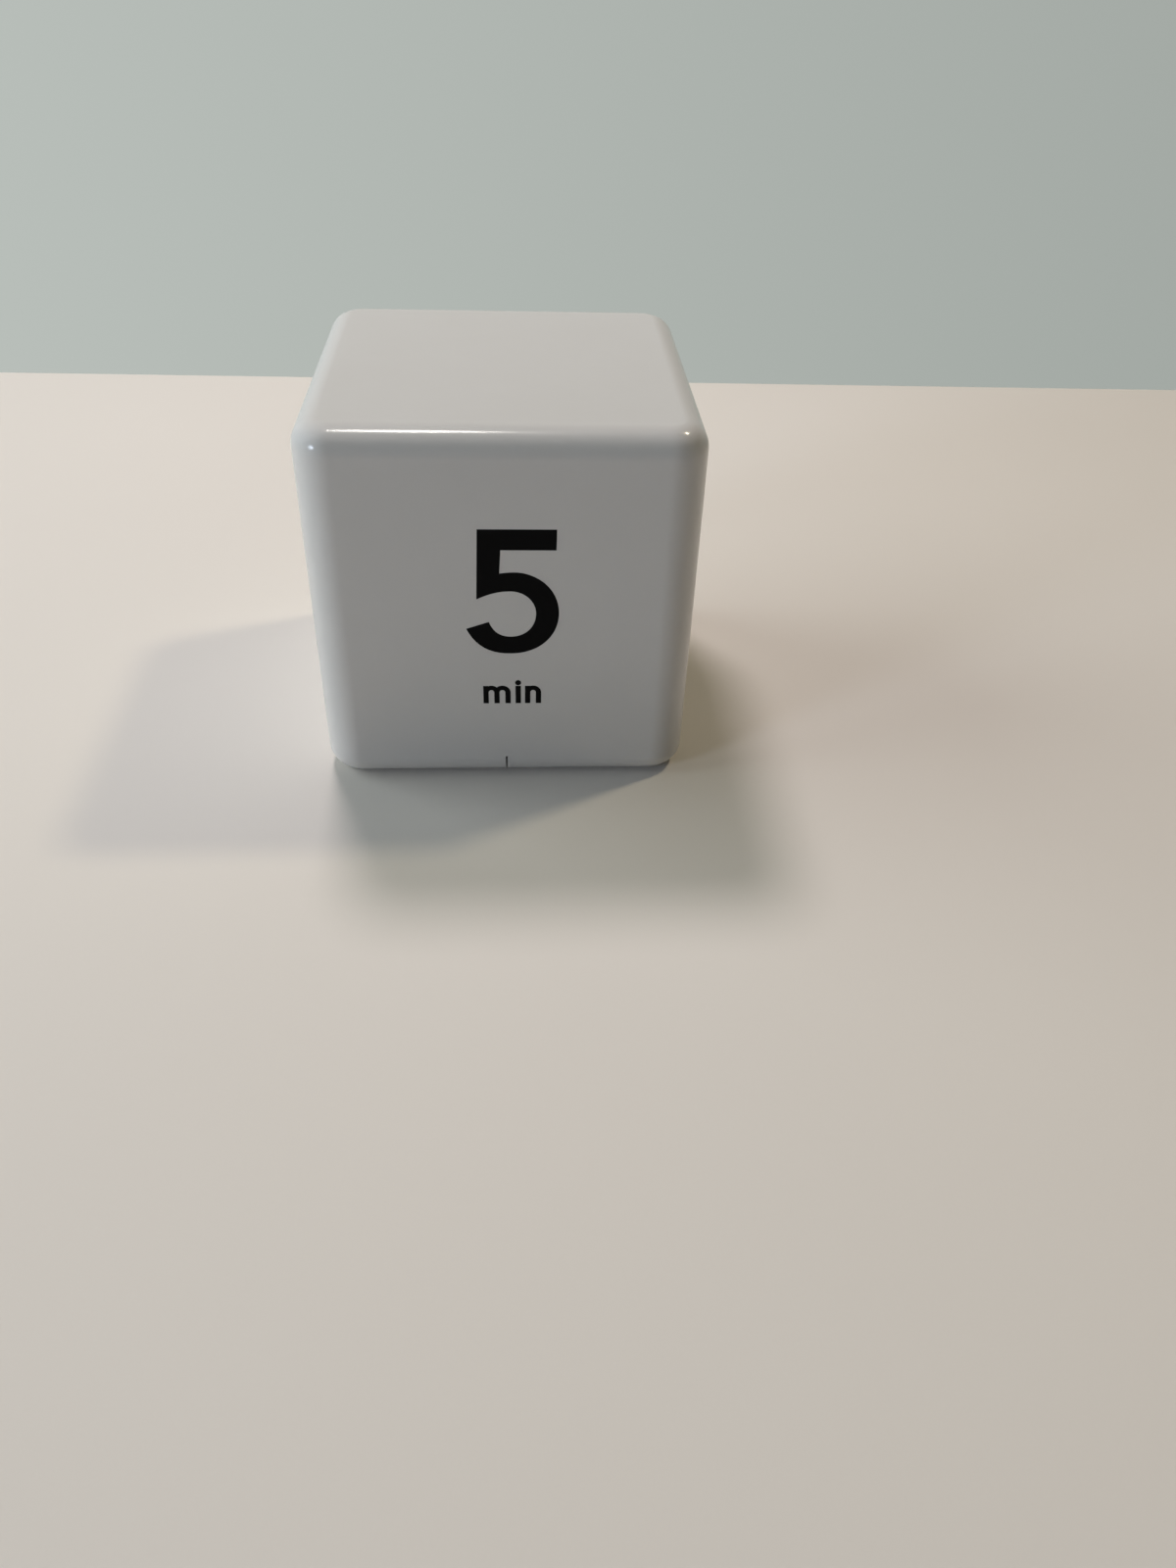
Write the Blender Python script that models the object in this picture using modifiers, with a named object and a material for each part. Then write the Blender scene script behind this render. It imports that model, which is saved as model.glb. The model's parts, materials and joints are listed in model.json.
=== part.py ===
"""A cube timer: a five-sided plastic housing closed by a display panel.

The cube stands on its display panel, as when it is switched off. Turned onto a
side, one of four ball switches on the circuit board closes and starts the
countdown for the side that is then on top. Two AAA cells lie in a bay on the
panel, behind a door.

Metres, +Z up. The origin is the middle of the face that the cube stands on,
and the side marked 5 faces -Y.
"""

import math

import bmesh
import bpy
from mathutils import Matrix, Vector

# Clearances
SEAT_GAP = 0.0003           # between a piece and what it rests on
SLIP_GAP = 0.00025          # round a piece that drops into a frame
CLOSE_GAP = 0.0001          # round a piece that is pressed into a can
OVERRUN = 0.001             # how far a cutter runs past what it cuts
BITE = 0.0003               # how far a joined shape runs into its neighbour
WELD = 0.000003             # points this near are one point

# Facets of round shapes
CORNER_STEPS = 8
EDGE_STEPS = 6
FEW_STEPS = 3
ROUND_SIDES = 24
SMALL_SIDES = 12
HOLE_SIDES = 8
WIRE_BEVEL_STEPS = 2
LEAD_BEVEL_STEPS = 1
BEND_STEPS = 3

# AAA cells
CELL_LENGTH = 0.0445
CELL_DIAMETER_SHARE = 0.236 # of the length
NUB_RADIUS = 0.0019
NUB_LENGTH = 0.001
CELL_EDGE_RADIUS = 0.0005
CELL_GAP = 0.0005           # between the two
CELL_SIDE_GAP = 0.00055     # between a cell and the side of the bay

# Housing
CELL_END_ROOM = 0.0095      # from each end of a cell out to the cube's side, which makes it 63.5 mm
CORNER_RADIUS = 0.0062      # upright edges
EDGE_RADIUS = 0.00415       # edges round the top and the base
WALL = 0.0022
CAVITY_EDGE_RADIUS = 0.002
SLIT_WIDTH = 0.0003         # pry slit in the middle of the front rim
SLIT_HEIGHT = 0.0046
RIB_REACH = 0.0015          # ribs that stop the panel
RIB_WIDTH = 0.0012
RIB_HEIGHT = 0.012
RIB_SPREAD_SHARE = 0.76     # of the inner half width
POCKET_DEPTH = 0.0012       # where the panel's snap arms catch

# Display panel
PANEL_THICKNESS = 0.0022
ARM_THICKNESS = 0.0012      # snap arms
ARM_WIDTH = 0.007
ARM_HEIGHT = 0.008
ARM_SPREAD_SHARE = 0.46     # of the inner half width
BARB_REACH = 0.0007
BARB_HEIGHT = 0.0018
SOUND_HOLE_RADIUS = 0.0007
SOUND_HOLE_PITCH = 0.003
SOUND_HOLE_COUNT = 7
SOUND_ROW_MARGIN = 0.0028   # from the door opening
POST_RADIUS = 0.0024        # posts that carry the board

# Battery bay
LEDGE = 0.0009              # what the door rests on, all round
BAY_WALL = 0.0008           # outside the ledge
BAY_ROOF = 0.0012
BAY_BACK_MARGIN = 0.0044    # of flat face behind the door, with the finger notch
BAY_RIB_WIDTH = 0.001       # between the cells
BAY_RIB_DROP = 0.0025
BAY_RIB_LENGTH = 0.036
NOTCH_RADIUS = 0.004
NOTCH_DEPTH = 0.0013

# Battery contacts
CONTACT_THICKNESS = 0.0004
CONTACT_HEIGHT = 0.009
CONTACT_MARGIN = 0.001      # beside the plate, within the cell's width
WAIST_HEIGHT = 0.004        # of the bridge, between the cells
DIMPLE_RADIUS = 0.002
DIMPLE_TIP_SHARE = 0.6      # of the dimple's radius
DIMPLE_HEIGHT = 0.0008
TAB_WIDTH = 0.0026          # solder tab, up through the roof of the bay
TAB_RISE = 0.0016
SPRING_LENGTH = 0.0042      # as the cell presses it
SPRING_WIRE = 0.00025       # radius of the wire
SPRING_BASE_RADIUS = 0.0038
SPRING_TIP_RADIUS = 0.0022
SPRING_TURNS = 3.5
SPRING_POINTS = 10          # in each turn

# Battery door
DOOR_THICKNESS = 0.002
DOOR_SETBACK = 0.0002       # behind the face that the cube stands on
DOOR_CORNER_RADIUS = 0.001
DOOR_RIB_WIDTH = 0.0012
DOOR_RIB_HEIGHT = 0.0014
DOOR_RIB_LENGTH = 0.04
TONGUE_WIDTH = 0.006
TONGUE_THICKNESS = 0.001
TONGUE_REACH = 0.0018       # past the edge of the opening
TONGUE_ROOT = 0.0014
TONGUE_SPREAD_SHARE = 0.55  # of the door's half width
SWING_ROOM = 0.0009         # over the tongues and the latch
LATCH_WIDTH = 0.009
LATCH_HEIGHT = 0.0024       # above the door's inner face
LATCH_LEG = 0.0006
LATCH_SLOT = 0.0006
LATCH_SIDE_GAP = 0.0005
GRIP_GROOVES = 3
GRIP_WIDTH = 0.0006
GRIP_DEPTH = 0.0004
GRIP_PITCH = 0.0013
GRIP_LENGTH = 0.01
GRIP_MARGIN = 0.0022        # from the latch to the first groove

# Display
WINDOW_END_INSET = 0.0005   # from the ends of the display cell
WINDOW_SIDE_INSET = 0.00125
WINDOW_THICKNESS = 0.0009
WINDOW_RADIUS = 0.0012
WINDOW_SETBACK = 0.0003     # behind the face that the cube stands on
VIEW_MARGIN = 0.0015        # glued rim of the window
LCD_WIDTH_SHARE = 0.504     # of the cube's side
LCD_DEPTH_SHARE = 0.684     # of the board's depth
LCD_GLASS = 0.0011          # each of its two plates
LCD_LEDGE = 0.0026          # where the rear plate stops short
LCD_FRAME_WALL = 0.0013
STRIP_WIDTH = 0.0018        # rubber contact strip
STRIP_END_GAP = 0.0012

# Circuit board
BOARD_THICKNESS = 0.0012
BOARD_RISE = 0.006          # above the panel's inner face
BOARD_MARGIN = 0.0006       # to the snap arms and the bay
BOARD_RIB_MARGIN = 0.0012   # to the housing's ribs
BOARD_RADIUS = 0.001
SCREW_INSET = 0.003
SCREW_RADIUS = 0.001
SCREW_LENGTH = 0.0045       # below its head
SCREW_HEAD_RADIUS = 0.0019
SCREW_HEAD_HEIGHT = 0.0013
SCREW_HEAD_EDGE = 0.0004
DRIVE_WIDTH = 0.0005
DRIVE_LENGTH = 0.0022
DRIVE_DEPTH = 0.0007
LEAD_RADIUS = 0.00025       # component leads
LEAD_HOLE_RADIUS = 0.00055
PIN_STUB = 0.0008           # of a switch's pins, over the board
LEAD_BEND = 0.0006

# Slide switches
SWITCH_LENGTH = 0.0086
SWITCH_WIDTH = 0.0044
SWITCH_HEIGHT = 0.0038
SWITCH_SHEET = 0.0003
SWITCH_BASE_THICKNESS = 0.0007
SWITCH_PIN_PITCH = 0.0025
SWITCH_MARGIN = 0.00275     # from the display's frame
SWITCH_TRAVEL = 0.0024
SLIDER_WIDTH = 0.003
SLIDER_LENGTH = 0.0034
LEVER_WIDTH = 0.0018
LEVER_LENGTH = 0.0022
LEVER_SETBACK = 0.0005      # behind the face that the cube stands on
LEVER_GROOVE = 0.0003
LEVER_GAP = 0.0004
WELL_WIDTH = 0.0052
WELL_END_MARGIN = 0.0012
WELL_DEPTH = 0.0014
WELL_RADIUS = 0.0016

# Ball switches
CAN_RADIUS = 0.002
CAN_LENGTH = 0.0085
CAN_SHEET = 0.0003
CAN_EDGE = 0.0004
PLUG_THICKNESS = 0.0014
PIN_SPREAD = 0.0008         # of each pin from the middle
PIN_REACH = 0.0007          # into the can
LEAD_REACH = 0.0011         # behind the plug, before the bend
CAN_TILT = 12               # degrees, so that each ball rolls off its pins when the cube stands
BALL_SWITCHES = (           # heading of the pins in degrees, and a place on the board
    ("right", 0, (0.69, -0.44)),
    ("left", 180, (-0.69, -0.44)),
    ("back", 90, (0.45, 0.36)),
    ("front", 270, (-0.45, 0.44)),
)

# Buzzer
BUZZER_RADIUS = 0.006
BUZZER_HEIGHT = 0.0085
BUZZER_EDGE = 0.0004
BUZZER_HOLE_RADIUS = 0.001
BUZZER_HOLE_DEPTH = 0.002
BUZZER_LEAD_SPREAD = 0.0033
BUZZER_PLACE_SHARES = (0, 0)

# Capacitor
CAPACITOR_RADIUS = 0.0025
CAPACITOR_HEIGHT = 0.007
CAPACITOR_EDGE = 0.0003
CAPACITOR_CRIMP = 0.0002
CAPACITOR_LEAD_SPREAD = 0.001
CAPACITOR_PLACE_SHARES = (0.74, 0.58)

# Transistor
TRANSISTOR_RADIUS = 0.0023
TRANSISTOR_FLAT = 0.0012    # from the middle to the flat side
TRANSISTOR_HEIGHT = 0.0046
TRANSISTOR_STANDOFF = 0.0018
TRANSISTOR_LEAD_PITCH = 0.0013
TRANSISTOR_PLACE_SHARES = (-0.79, 0.1)

# Crystal
CRYSTAL_RADIUS = 0.001
CRYSTAL_LENGTH = 0.006
CRYSTAL_EDGE = 0.0002
CRYSTAL_LEAD_SPREAD = 0.0005
CRYSTAL_HOLE_SPREAD = 0.001
CRYSTAL_LEAD_REACH = 0.0015
CRYSTAL_PLACE_SHARES = (0, -0.78)

# Chip, under a drop of resin
CHIP_RADIUS = 0.0032
CHIP_HEIGHT = 0.0012
CHIP_RINGS = 5
CHIP_PLACE_SHARES = (0.79, 0.08)

# Battery leads
WIRE_RADIUS = 0.0005
WIRE_SAMPLES = 6            # points between two route points
WIRE_HOP = 0.0022           # over the roof of the bay
WIRE_DROP = 0.003           # straight down to the pad
WIRE_LEAN_SHARE = 0.3       # of the way from pad to tab, where a lead crosses the bay's wall
PAD_PLACE_SHARES = {"red": (-0.79, 0.86), "black": (-0.6, 0.86)}

# Worked out from the sizes above
SIDE = CELL_LENGTH + 2 * CELL_END_ROOM               # over the flat faces
HALF = SIDE / 2
INNER = HALF - WALL                                  # inner face of the walls
PANEL_HALF = INNER - SLIP_GAP
ARM_FACE = INNER - SEAT_GAP                          # outer face of a snap arm
ARM_TOP = PANEL_THICKNESS + ARM_HEIGHT
BARB_TOP = ARM_TOP - BARB_HEIGHT
BARB_LOW = BARB_TOP - BARB_HEIGHT
STOP_LEVEL = PANEL_THICKNESS + SEAT_GAP

DOOR_TOP = DOOR_SETBACK + DOOR_THICKNESS
LEDGE_LEVEL = DOOR_TOP + SEAT_GAP
CELL_DIAMETER = CELL_DIAMETER_SHARE * CELL_LENGTH
CELL_RADIUS = CELL_DIAMETER / 2
CELL_LEVEL = LEDGE_LEVEL + CELL_RADIUS
ROOF_LEVEL = CELL_LEVEL + CELL_RADIUS + SEAT_GAP
ROOF_TOP = ROOF_LEVEL + BAY_ROOF
BAY_HALF = (CELL_LENGTH + SPRING_LENGTH + DIMPLE_HEIGHT) / 2 + CONTACT_THICKNESS + 2 * SEAT_GAP
BAY_DEPTH = 2 * CELL_DIAMETER + CELL_GAP + 2 * CELL_SIDE_GAP
OPENING_HALF = BAY_HALF + LEDGE
OPENING_BACK = HALF - EDGE_RADIUS - BAY_BACK_MARGIN
OPENING_FRONT = OPENING_BACK - BAY_DEPTH - 2 * LEDGE
BAY_BACK = OPENING_BACK - LEDGE
BAY_FRONT = OPENING_FRONT + LEDGE
BAY_MIDDLE = (BAY_BACK + BAY_FRONT) / 2
BAY_SHELL_FRONT = OPENING_FRONT - BAY_WALL
CELL_SPACING = (CELL_DIAMETER + CELL_GAP) / 2
CELL_FRONT_Y = BAY_MIDDLE - CELL_SPACING
CELL_BACK_Y = BAY_MIDDLE + CELL_SPACING
CONTACT_OUTSIDE = BAY_HALF - SEAT_GAP                # x of a contact plate's outer face
CONTACT_FACE = CONTACT_OUTSIDE - CONTACT_THICKNESS
NUB_X = CONTACT_FACE - DIMPLE_HEIGHT - SEAT_GAP
TAB_TOP = ROOF_TOP + TAB_RISE

DOOR_FRONT = OPENING_FRONT + SEAT_GAP
DOOR_BACK = OPENING_BACK - SEAT_GAP
DOOR_HALF = OPENING_HALF - SEAT_GAP
HINGE_Y = (DOOR_FRONT + OPENING_FRONT) / 2
TONGUE_LOW = LEDGE_LEVEL + SEAT_GAP
TONGUE_TOP = TONGUE_LOW + TONGUE_THICKNESS
LATCH_TOP = DOOR_TOP + LATCH_HEIGHT

BOARD_UNDERSIDE = PANEL_THICKNESS + BOARD_RISE
BOARD_TOP = BOARD_UNDERSIDE + BOARD_THICKNESS
BOARD_HALF = INNER - RIB_REACH - BOARD_RIB_MARGIN
BOARD_FRONT = -(ARM_FACE - ARM_THICKNESS - BOARD_MARGIN)
BOARD_BACK = BAY_SHELL_FRONT - BOARD_MARGIN
BOARD_MIDDLE = (BOARD_FRONT + BOARD_BACK) / 2
BOARD_HALF_DEPTH = (BOARD_BACK - BOARD_FRONT) / 2
ON_BOARD = BOARD_TOP + SEAT_GAP

LCD_HALF = LCD_WIDTH_SHARE * SIDE / 2
LCD_HALF_DEPTH = LCD_DEPTH_SHARE * BOARD_HALF_DEPTH
LCD_FRAME_REACH = SEAT_GAP + LCD_FRAME_WALL
WINDOW_HALF = LCD_HALF - WINDOW_END_INSET
WINDOW_HALF_DEPTH = LCD_HALF_DEPTH - WINDOW_SIDE_INSET

SWITCH_TOP = BOARD_UNDERSIDE - SEAT_GAP
SWITCH_LOW = SWITCH_TOP - SWITCH_HEIGHT
SWITCH_SPREAD = LCD_HALF + LCD_FRAME_REACH + SWITCH_MARGIN + SWITCH_WIDTH / 2
SWITCH_XS = {"power": -SWITCH_SPREAD, "volume": SWITCH_SPREAD}
HALF_SLOT = (LEVER_LENGTH + SWITCH_TRAVEL) / 2 + LEVER_GAP

CAN_INNER = CAN_RADIUS - CAN_SHEET
BALL_RADIUS = CAN_INNER - SEAT_GAP
BALL_REST = -CAN_LENGTH / 2 + CAN_SHEET + SEAT_GAP + BALL_RADIUS

parts = bpy.data.collections.new("cube_timer")
cutters = bpy.data.collections.new("cutters")


def clear_scene():
    for obj in list(bpy.data.objects):
        bpy.data.objects.remove(obj)
    for collection in (parts, cutters):
        bpy.context.scene.collection.children.link(collection)


def material(name, colour, roughness, metallic=0.0, alpha=1.0):
    made = bpy.data.materials.new(name)
    made.use_nodes = True
    shader = made.node_tree.nodes["Principled BSDF"]
    shader.inputs["Base Color"].default_value = (*colour, 1.0)
    shader.inputs["Roughness"].default_value = roughness
    shader.inputs["Metallic"].default_value = metallic
    shader.inputs["Alpha"].default_value = alpha
    made.diffuse_color = (*colour, alpha)
    return made


def linked(name, data, surface=None):
    """An object of the data: a part if it has a material, and otherwise a cutter."""
    obj = bpy.data.objects.new(name, data)
    if surface:
        data.materials.append(surface)
        parts.objects.link(obj)
    else:
        cutters.objects.link(obj)
        obj.hide_render = True
        obj.display_type = "WIRE"
    return obj


def new_object(name, bm, surface=None):
    bmesh.ops.recalc_face_normals(bm, faces=bm.faces)
    mesh = bpy.data.meshes.new(name)
    bm.to_mesh(mesh)
    bm.free()
    mesh.shade_smooth()
    mesh.set_sharp_from_angle(angle=math.radians(35))
    return linked(name, mesh, surface)


def merged(name, shapes, surface=None):
    """Several closed shapes in one object."""
    whole = bmesh.new()
    for shape in shapes:
        mesh = bpy.data.meshes.new(name)
        shape.to_mesh(mesh)
        shape.free()
        whole.from_mesh(mesh)
        bpy.data.meshes.remove(mesh)
    return new_object(name, whole, surface)


def boolean(obj, other, operation):
    modifier = obj.modifiers.new(f"{operation.lower()} {other.name}", "BOOLEAN")
    modifier.operation = operation
    modifier.object = other
    modifier.solver = "EXACT"


def even_shading(*objs):
    """Keeps the shading of flat faces flat next to rounded edges. The shape stays."""
    for obj in objs:
        modifier = obj.modifiers.new("even shading", "WEIGHTED_NORMAL")
        modifier.keep_sharp = True


def cut(obj, *others):
    for other in others:
        boolean(obj, other, "DIFFERENCE")


def join(obj, *others):
    for other in others:
        boolean(obj, other, "UNION")


def block(low, high, corner=0.0, edge=0.0, corner_steps=FEW_STEPS, edge_steps=FEW_STEPS):
    """A block between two corners, with its upright edges rounded and then those of its top and base."""
    bm = bmesh.new()
    size = Vector(high) - Vector(low)
    middle = (Vector(high) + Vector(low)) / 2
    bmesh.ops.create_cube(bm, size=1, matrix=Matrix.Translation(middle) @ Matrix.Diagonal((*size, 1)))
    if corner:
        round_off(bm, [rim for rim in bm.edges if is_upright(rim)], corner, corner_steps)
    if edge:
        bm.normal_update()
        round_off(bm, [rim for rim in bm.edges if is_level_rim(rim)], edge, edge_steps)
    return bm


def round_off(bm, rims, radius, steps):
    bmesh.ops.bevel(bm, geom=rims, offset=radius, segments=steps, profile=0.5, affect="EDGES")


def is_upright(rim):
    run = rim.verts[0].co - rim.verts[1].co
    return abs(run.z) > max(abs(run.x), abs(run.y))


def is_level_rim(rim):
    tilts = [abs(face.normal.z) for face in rim.link_faces]
    return max(tilts) - min(tilts) > 0.5


def rod(radius, low, high, place=(0, 0), sides=SMALL_SIDES, tip_radius=None):
    """An upright cylinder between two levels, or a cone if its tip has a radius of its own."""
    bm = bmesh.new()
    bmesh.ops.create_cone(
        bm,
        cap_ends=True,
        segments=sides,
        radius1=radius,
        radius2=radius if tip_radius is None else tip_radius,
        depth=high - low,
        matrix=Matrix.Translation((*place, (low + high) / 2)),
    )
    return bm


def extruded(outline, thickness, placing):
    """A flat outline of (x, y) points, thickened both ways from its plane."""
    curve = bpy.data.curves.new("outline", "CURVE")
    curve.dimensions = "2D"
    curve.fill_mode = "BOTH"
    curve.extrude = thickness / 2
    spline = curve.splines.new("POLY")
    spline.points.add(len(outline) - 1)
    for point, (x, y) in zip(spline.points, outline):
        point.co = (x, y, 0, 1)
    spline.use_cyclic_u = True
    return meshed(curve, placing)


def tube(name, points, radius, bevel):
    """A wire of round section along the points, as a curve."""
    curve = bpy.data.curves.new(name, "CURVE")
    curve.dimensions = "3D"
    curve.bevel_depth = radius
    curve.bevel_resolution = bevel
    curve.use_fill_caps = True
    spline = curve.splines.new("POLY")
    spline.points.add(len(points) - 1)
    for spot, point in zip(spline.points, points):
        spot.co = (*point, 1)
    return curve


def meshed(curve, placing=Matrix()):
    """A curve as a closed mesh. The curve is removed."""
    guide = linked(curve.name, curve)
    graph = bpy.context.evaluated_depsgraph_get()
    mesh = bpy.data.meshes.new_from_object(guide.evaluated_get(graph))
    bm = bmesh.new()
    bm.from_mesh(mesh)
    bmesh.ops.remove_doubles(bm, verts=bm.verts, dist=WELD)
    bmesh.ops.transform(bm, matrix=placing, verts=bm.verts)
    bpy.data.objects.remove(guide)
    bpy.data.curves.remove(curve)
    bpy.data.meshes.remove(mesh)
    return bm


def turned(name, profile, sides, surface=None):
    """A turned piece. Its (radius, level) points start on the axis, run down outside and end on the axis."""
    mesh = bpy.data.meshes.new(name)
    bm = bmesh.new()
    verts = [bm.verts.new((radius, 0, level)) for radius, level in profile]
    for above, below in zip(verts, verts[1:]):
        bm.edges.new((above, below))
    bm.to_mesh(mesh)
    bm.free()
    obj = linked(name, mesh, surface)
    screw = obj.modifiers.new("turn", "SCREW")
    screw.steps = sides
    screw.render_steps = sides
    screw.use_merge_vertices = True
    screw.merge_threshold = WELD
    screw.use_smooth_shade = True
    return obj


def degrees_about(angle, axis):
    return Matrix.Rotation(math.radians(angle), 4, axis)


def across_x():
    """Takes an outline drawn in (y, z) to the plane across X."""
    return degrees_about(90, "Z") @ degrees_about(90, "X")


def quarter_turns():
    """A turn about Z for each side wall, starting with the one at +X."""
    return [degrees_about(angle, "Z") for angle in range(0, 360, 90)]


def bent(points, radius):
    """A route with each inner corner rounded off, as points."""
    route = [points[0]]
    for before, corner, after in zip(points, points[1:], points[2:]):
        start = corner + (before - corner).normalized() * radius
        end = corner + (after - corner).normalized() * radius
        for step in range(BEND_STEPS + 1):
            share = step / BEND_STEPS
            route.append(start.lerp(corner, share).lerp(corner.lerp(end, share), share))
    route.append(points[-1])
    return route


def smooth_route(points, samples):
    """Points along a smooth curve through the route's own points."""
    padded = [points[0], *points, points[-1]]
    route = []
    for a, b, c, d in zip(padded, padded[1:], padded[2:], padded[3:]):
        for step in range(samples):
            t = step / samples
            bend = (c - a) * t + (2 * a - 5 * b + 4 * c - d) * t**2 + (3 * b - a - 3 * c + d) * t**3
            route.append(b + bend / 2)
    route.append(points[-1])
    return route


def outer_form(name, surface=None):
    """The rounded cube."""
    low, high = (-HALF, -HALF, 0), (HALF, HALF, SIDE)
    return new_object(name, block(low, high, CORNER_RADIUS, EDGE_RADIUS, CORNER_STEPS, EDGE_STEPS), surface)


def build_housing(plastic):
    """Five walls in one moulding, with ribs that stop the panel and pockets where its snap arms catch."""
    housing = outer_form("housing", plastic)
    inner_corner = CORNER_RADIUS - WALL
    roof = SIDE - WALL
    cavity = block((-INNER, -INNER, -roof), (INNER, INNER, roof), inner_corner, CAVITY_EDGE_RADIUS)
    slit = block(
        (-SLIT_WIDTH / 2, -HALF - OVERRUN, -OVERRUN),
        (SLIT_WIDTH / 2, -INNER + OVERRUN, SLIT_HEIGHT),
    )
    cut(housing, new_object("housing_cavity", cavity), new_object("pry_slit", slit))

    pockets = []
    ribs = []
    half_pocket = ARM_WIDTH / 2 + SEAT_GAP
    for turn in quarter_turns():
        for way in (-1, 1):
            middle = way * ARM_SPREAD_SHARE * INNER
            low = (INNER - OVERRUN, middle - half_pocket, BARB_LOW - SEAT_GAP)
            high = (INNER + POCKET_DEPTH, middle + half_pocket, BARB_TOP + SEAT_GAP)
            pocket = block(low, high)
            pocket.transform(turn)
            pockets.append(pocket)

            middle = way * RIB_SPREAD_SHARE * INNER
            low = (INNER - RIB_REACH, middle - RIB_WIDTH / 2, STOP_LEVEL)
            high = (INNER + BITE, middle + RIB_WIDTH / 2, STOP_LEVEL + RIB_HEIGHT)
            rib = block(low, high)
            rib.transform(turn)
            ribs.append(rib)
    join(housing, merged("stop_ribs", ribs))
    cut(housing, merged("snap_pockets", pockets))
    even_shading(housing)


def board_place(shares):
    """A place on the board, from shares of the way out to a slide switch and to the board's edge."""
    return (shares[0] * SWITCH_SPREAD, BOARD_MIDDLE + shares[1] * BOARD_HALF_DEPTH)


def board_corners():
    """Where the board is screwed down."""
    across = BOARD_HALF - SCREW_INSET
    along = BOARD_HALF_DEPTH - SCREW_INSET
    return [(x, BOARD_MIDDLE + y) for x in (-across, across) for y in (-along, along)]


def build_panel(plastic):
    """The face that the cube stands on, with the board's posts and the snap arms moulded on."""
    low, high = (-PANEL_HALF, -PANEL_HALF, -OVERRUN), (PANEL_HALF, PANEL_HALF, PANEL_THICKNESS)
    corner = CORNER_RADIUS - WALL - SLIP_GAP
    panel = new_object("display_panel", block(low, high, corner, corner_steps=CORNER_STEPS), plastic)
    boolean(panel, outer_form("outer_form"), "INTERSECT")

    root = PANEL_THICKNESS - BITE
    posts = [rod(POST_RADIUS, root, BOARD_UNDERSIDE - SEAT_GAP, place) for place in board_corners()]
    join(panel, merged("snap_arms", snap_arms()), merged("board_posts", posts))
    low = (-OPENING_HALF, OPENING_FRONT, -OVERRUN)
    high = (OPENING_HALF, OPENING_BACK, PANEL_THICKNESS + OVERRUN)
    opening = new_object("door_opening", block(low, high, DOOR_CORNER_RADIUS))
    notch = rod(NOTCH_RADIUS, -OVERRUN, NOTCH_DEPTH, (0, OPENING_BACK), ROUND_SIDES)
    cut(panel, opening, new_object("finger_notch", notch), *face_cutters())
    even_shading(panel)


def snap_arms():
    inside = ARM_FACE - ARM_THICKNESS
    root = PANEL_THICKNESS - BITE
    outline = [
        (inside, root),
        (ARM_FACE, root),
        (ARM_FACE, BARB_LOW),
        (ARM_FACE + BARB_REACH, BARB_LOW),
        (ARM_FACE + BARB_REACH, (BARB_LOW + BARB_TOP) / 2),
        (ARM_FACE, BARB_TOP),
        (ARM_FACE, ARM_TOP),
        (inside, ARM_TOP),
    ]
    return [
        extruded(
            outline,
            ARM_WIDTH,
            turn @ Matrix.Translation((0, way * ARM_SPREAD_SHARE * INNER, 0)) @ degrees_about(90, "X"),
        )
        for turn in quarter_turns()
        for way in (-1, 1)
    ]


def build_bay(plastic):
    """The tray over the cells. Its rim is the ledge that the door rests on."""
    low = (-OPENING_HALF - BAY_WALL, BAY_SHELL_FRONT, LEDGE_LEVEL)
    high = (OPENING_HALF + BAY_WALL, OPENING_BACK + BAY_WALL, ROOF_TOP)
    bay = new_object("battery_bay", block(low, high, corner=BAY_WALL), plastic)
    low, high = (-BAY_HALF, BAY_FRONT, LEDGE_LEVEL - OVERRUN), (BAY_HALF, BAY_BACK, ROOF_LEVEL)
    hollow = new_object("bay_hollow", block(low, high))

    slots = []
    half_tongue = TONGUE_WIDTH / 2 + SEAT_GAP
    for way in (-1, 1):
        middle = way * TONGUE_SPREAD_SHARE * DOOR_HALF
        low = (middle - half_tongue, BAY_SHELL_FRONT - OVERRUN, LEDGE_LEVEL - OVERRUN)
        high = (middle + half_tongue, BAY_FRONT + OVERRUN, TONGUE_TOP + SWING_ROOM)
        slots.append(block(low, high))
    half_latch = LATCH_WIDTH / 2 + LATCH_SIDE_GAP
    low = (-half_latch, BAY_BACK - OVERRUN, LEDGE_LEVEL - OVERRUN)
    high = (half_latch, OPENING_BACK + BAY_WALL + OVERRUN, LATCH_TOP + SWING_ROOM)
    slots.append(block(low, high))
    half_tab = TAB_WIDTH / 2 + SEAT_GAP
    for y in (CELL_FRONT_Y, CELL_BACK_Y):
        low = (-BAY_HALF, y - half_tab, ROOF_LEVEL - BITE)
        high = (-CONTACT_FACE + SEAT_GAP, y + half_tab, ROOF_TOP + OVERRUN)
        slots.append(block(low, high))
    cut(bay, hollow, merged("bay_slots", slots))

    low = (-BAY_RIB_LENGTH / 2, BAY_MIDDLE - BAY_RIB_WIDTH / 2, ROOF_LEVEL - BAY_RIB_DROP)
    high = (BAY_RIB_LENGTH / 2, BAY_MIDDLE + BAY_RIB_WIDTH / 2, ROOF_LEVEL + BITE)
    join(bay, new_object("bay_rib", block(low, high)))
    even_shading(bay)


def window_block(margin, low, high):
    across = WINDOW_HALF + margin
    along = WINDOW_HALF_DEPTH + margin
    return block(
        (-across, BOARD_MIDDLE - along, low),
        (across, BOARD_MIDDLE + along, high),
        corner=WINDOW_RADIUS,
    )


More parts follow.
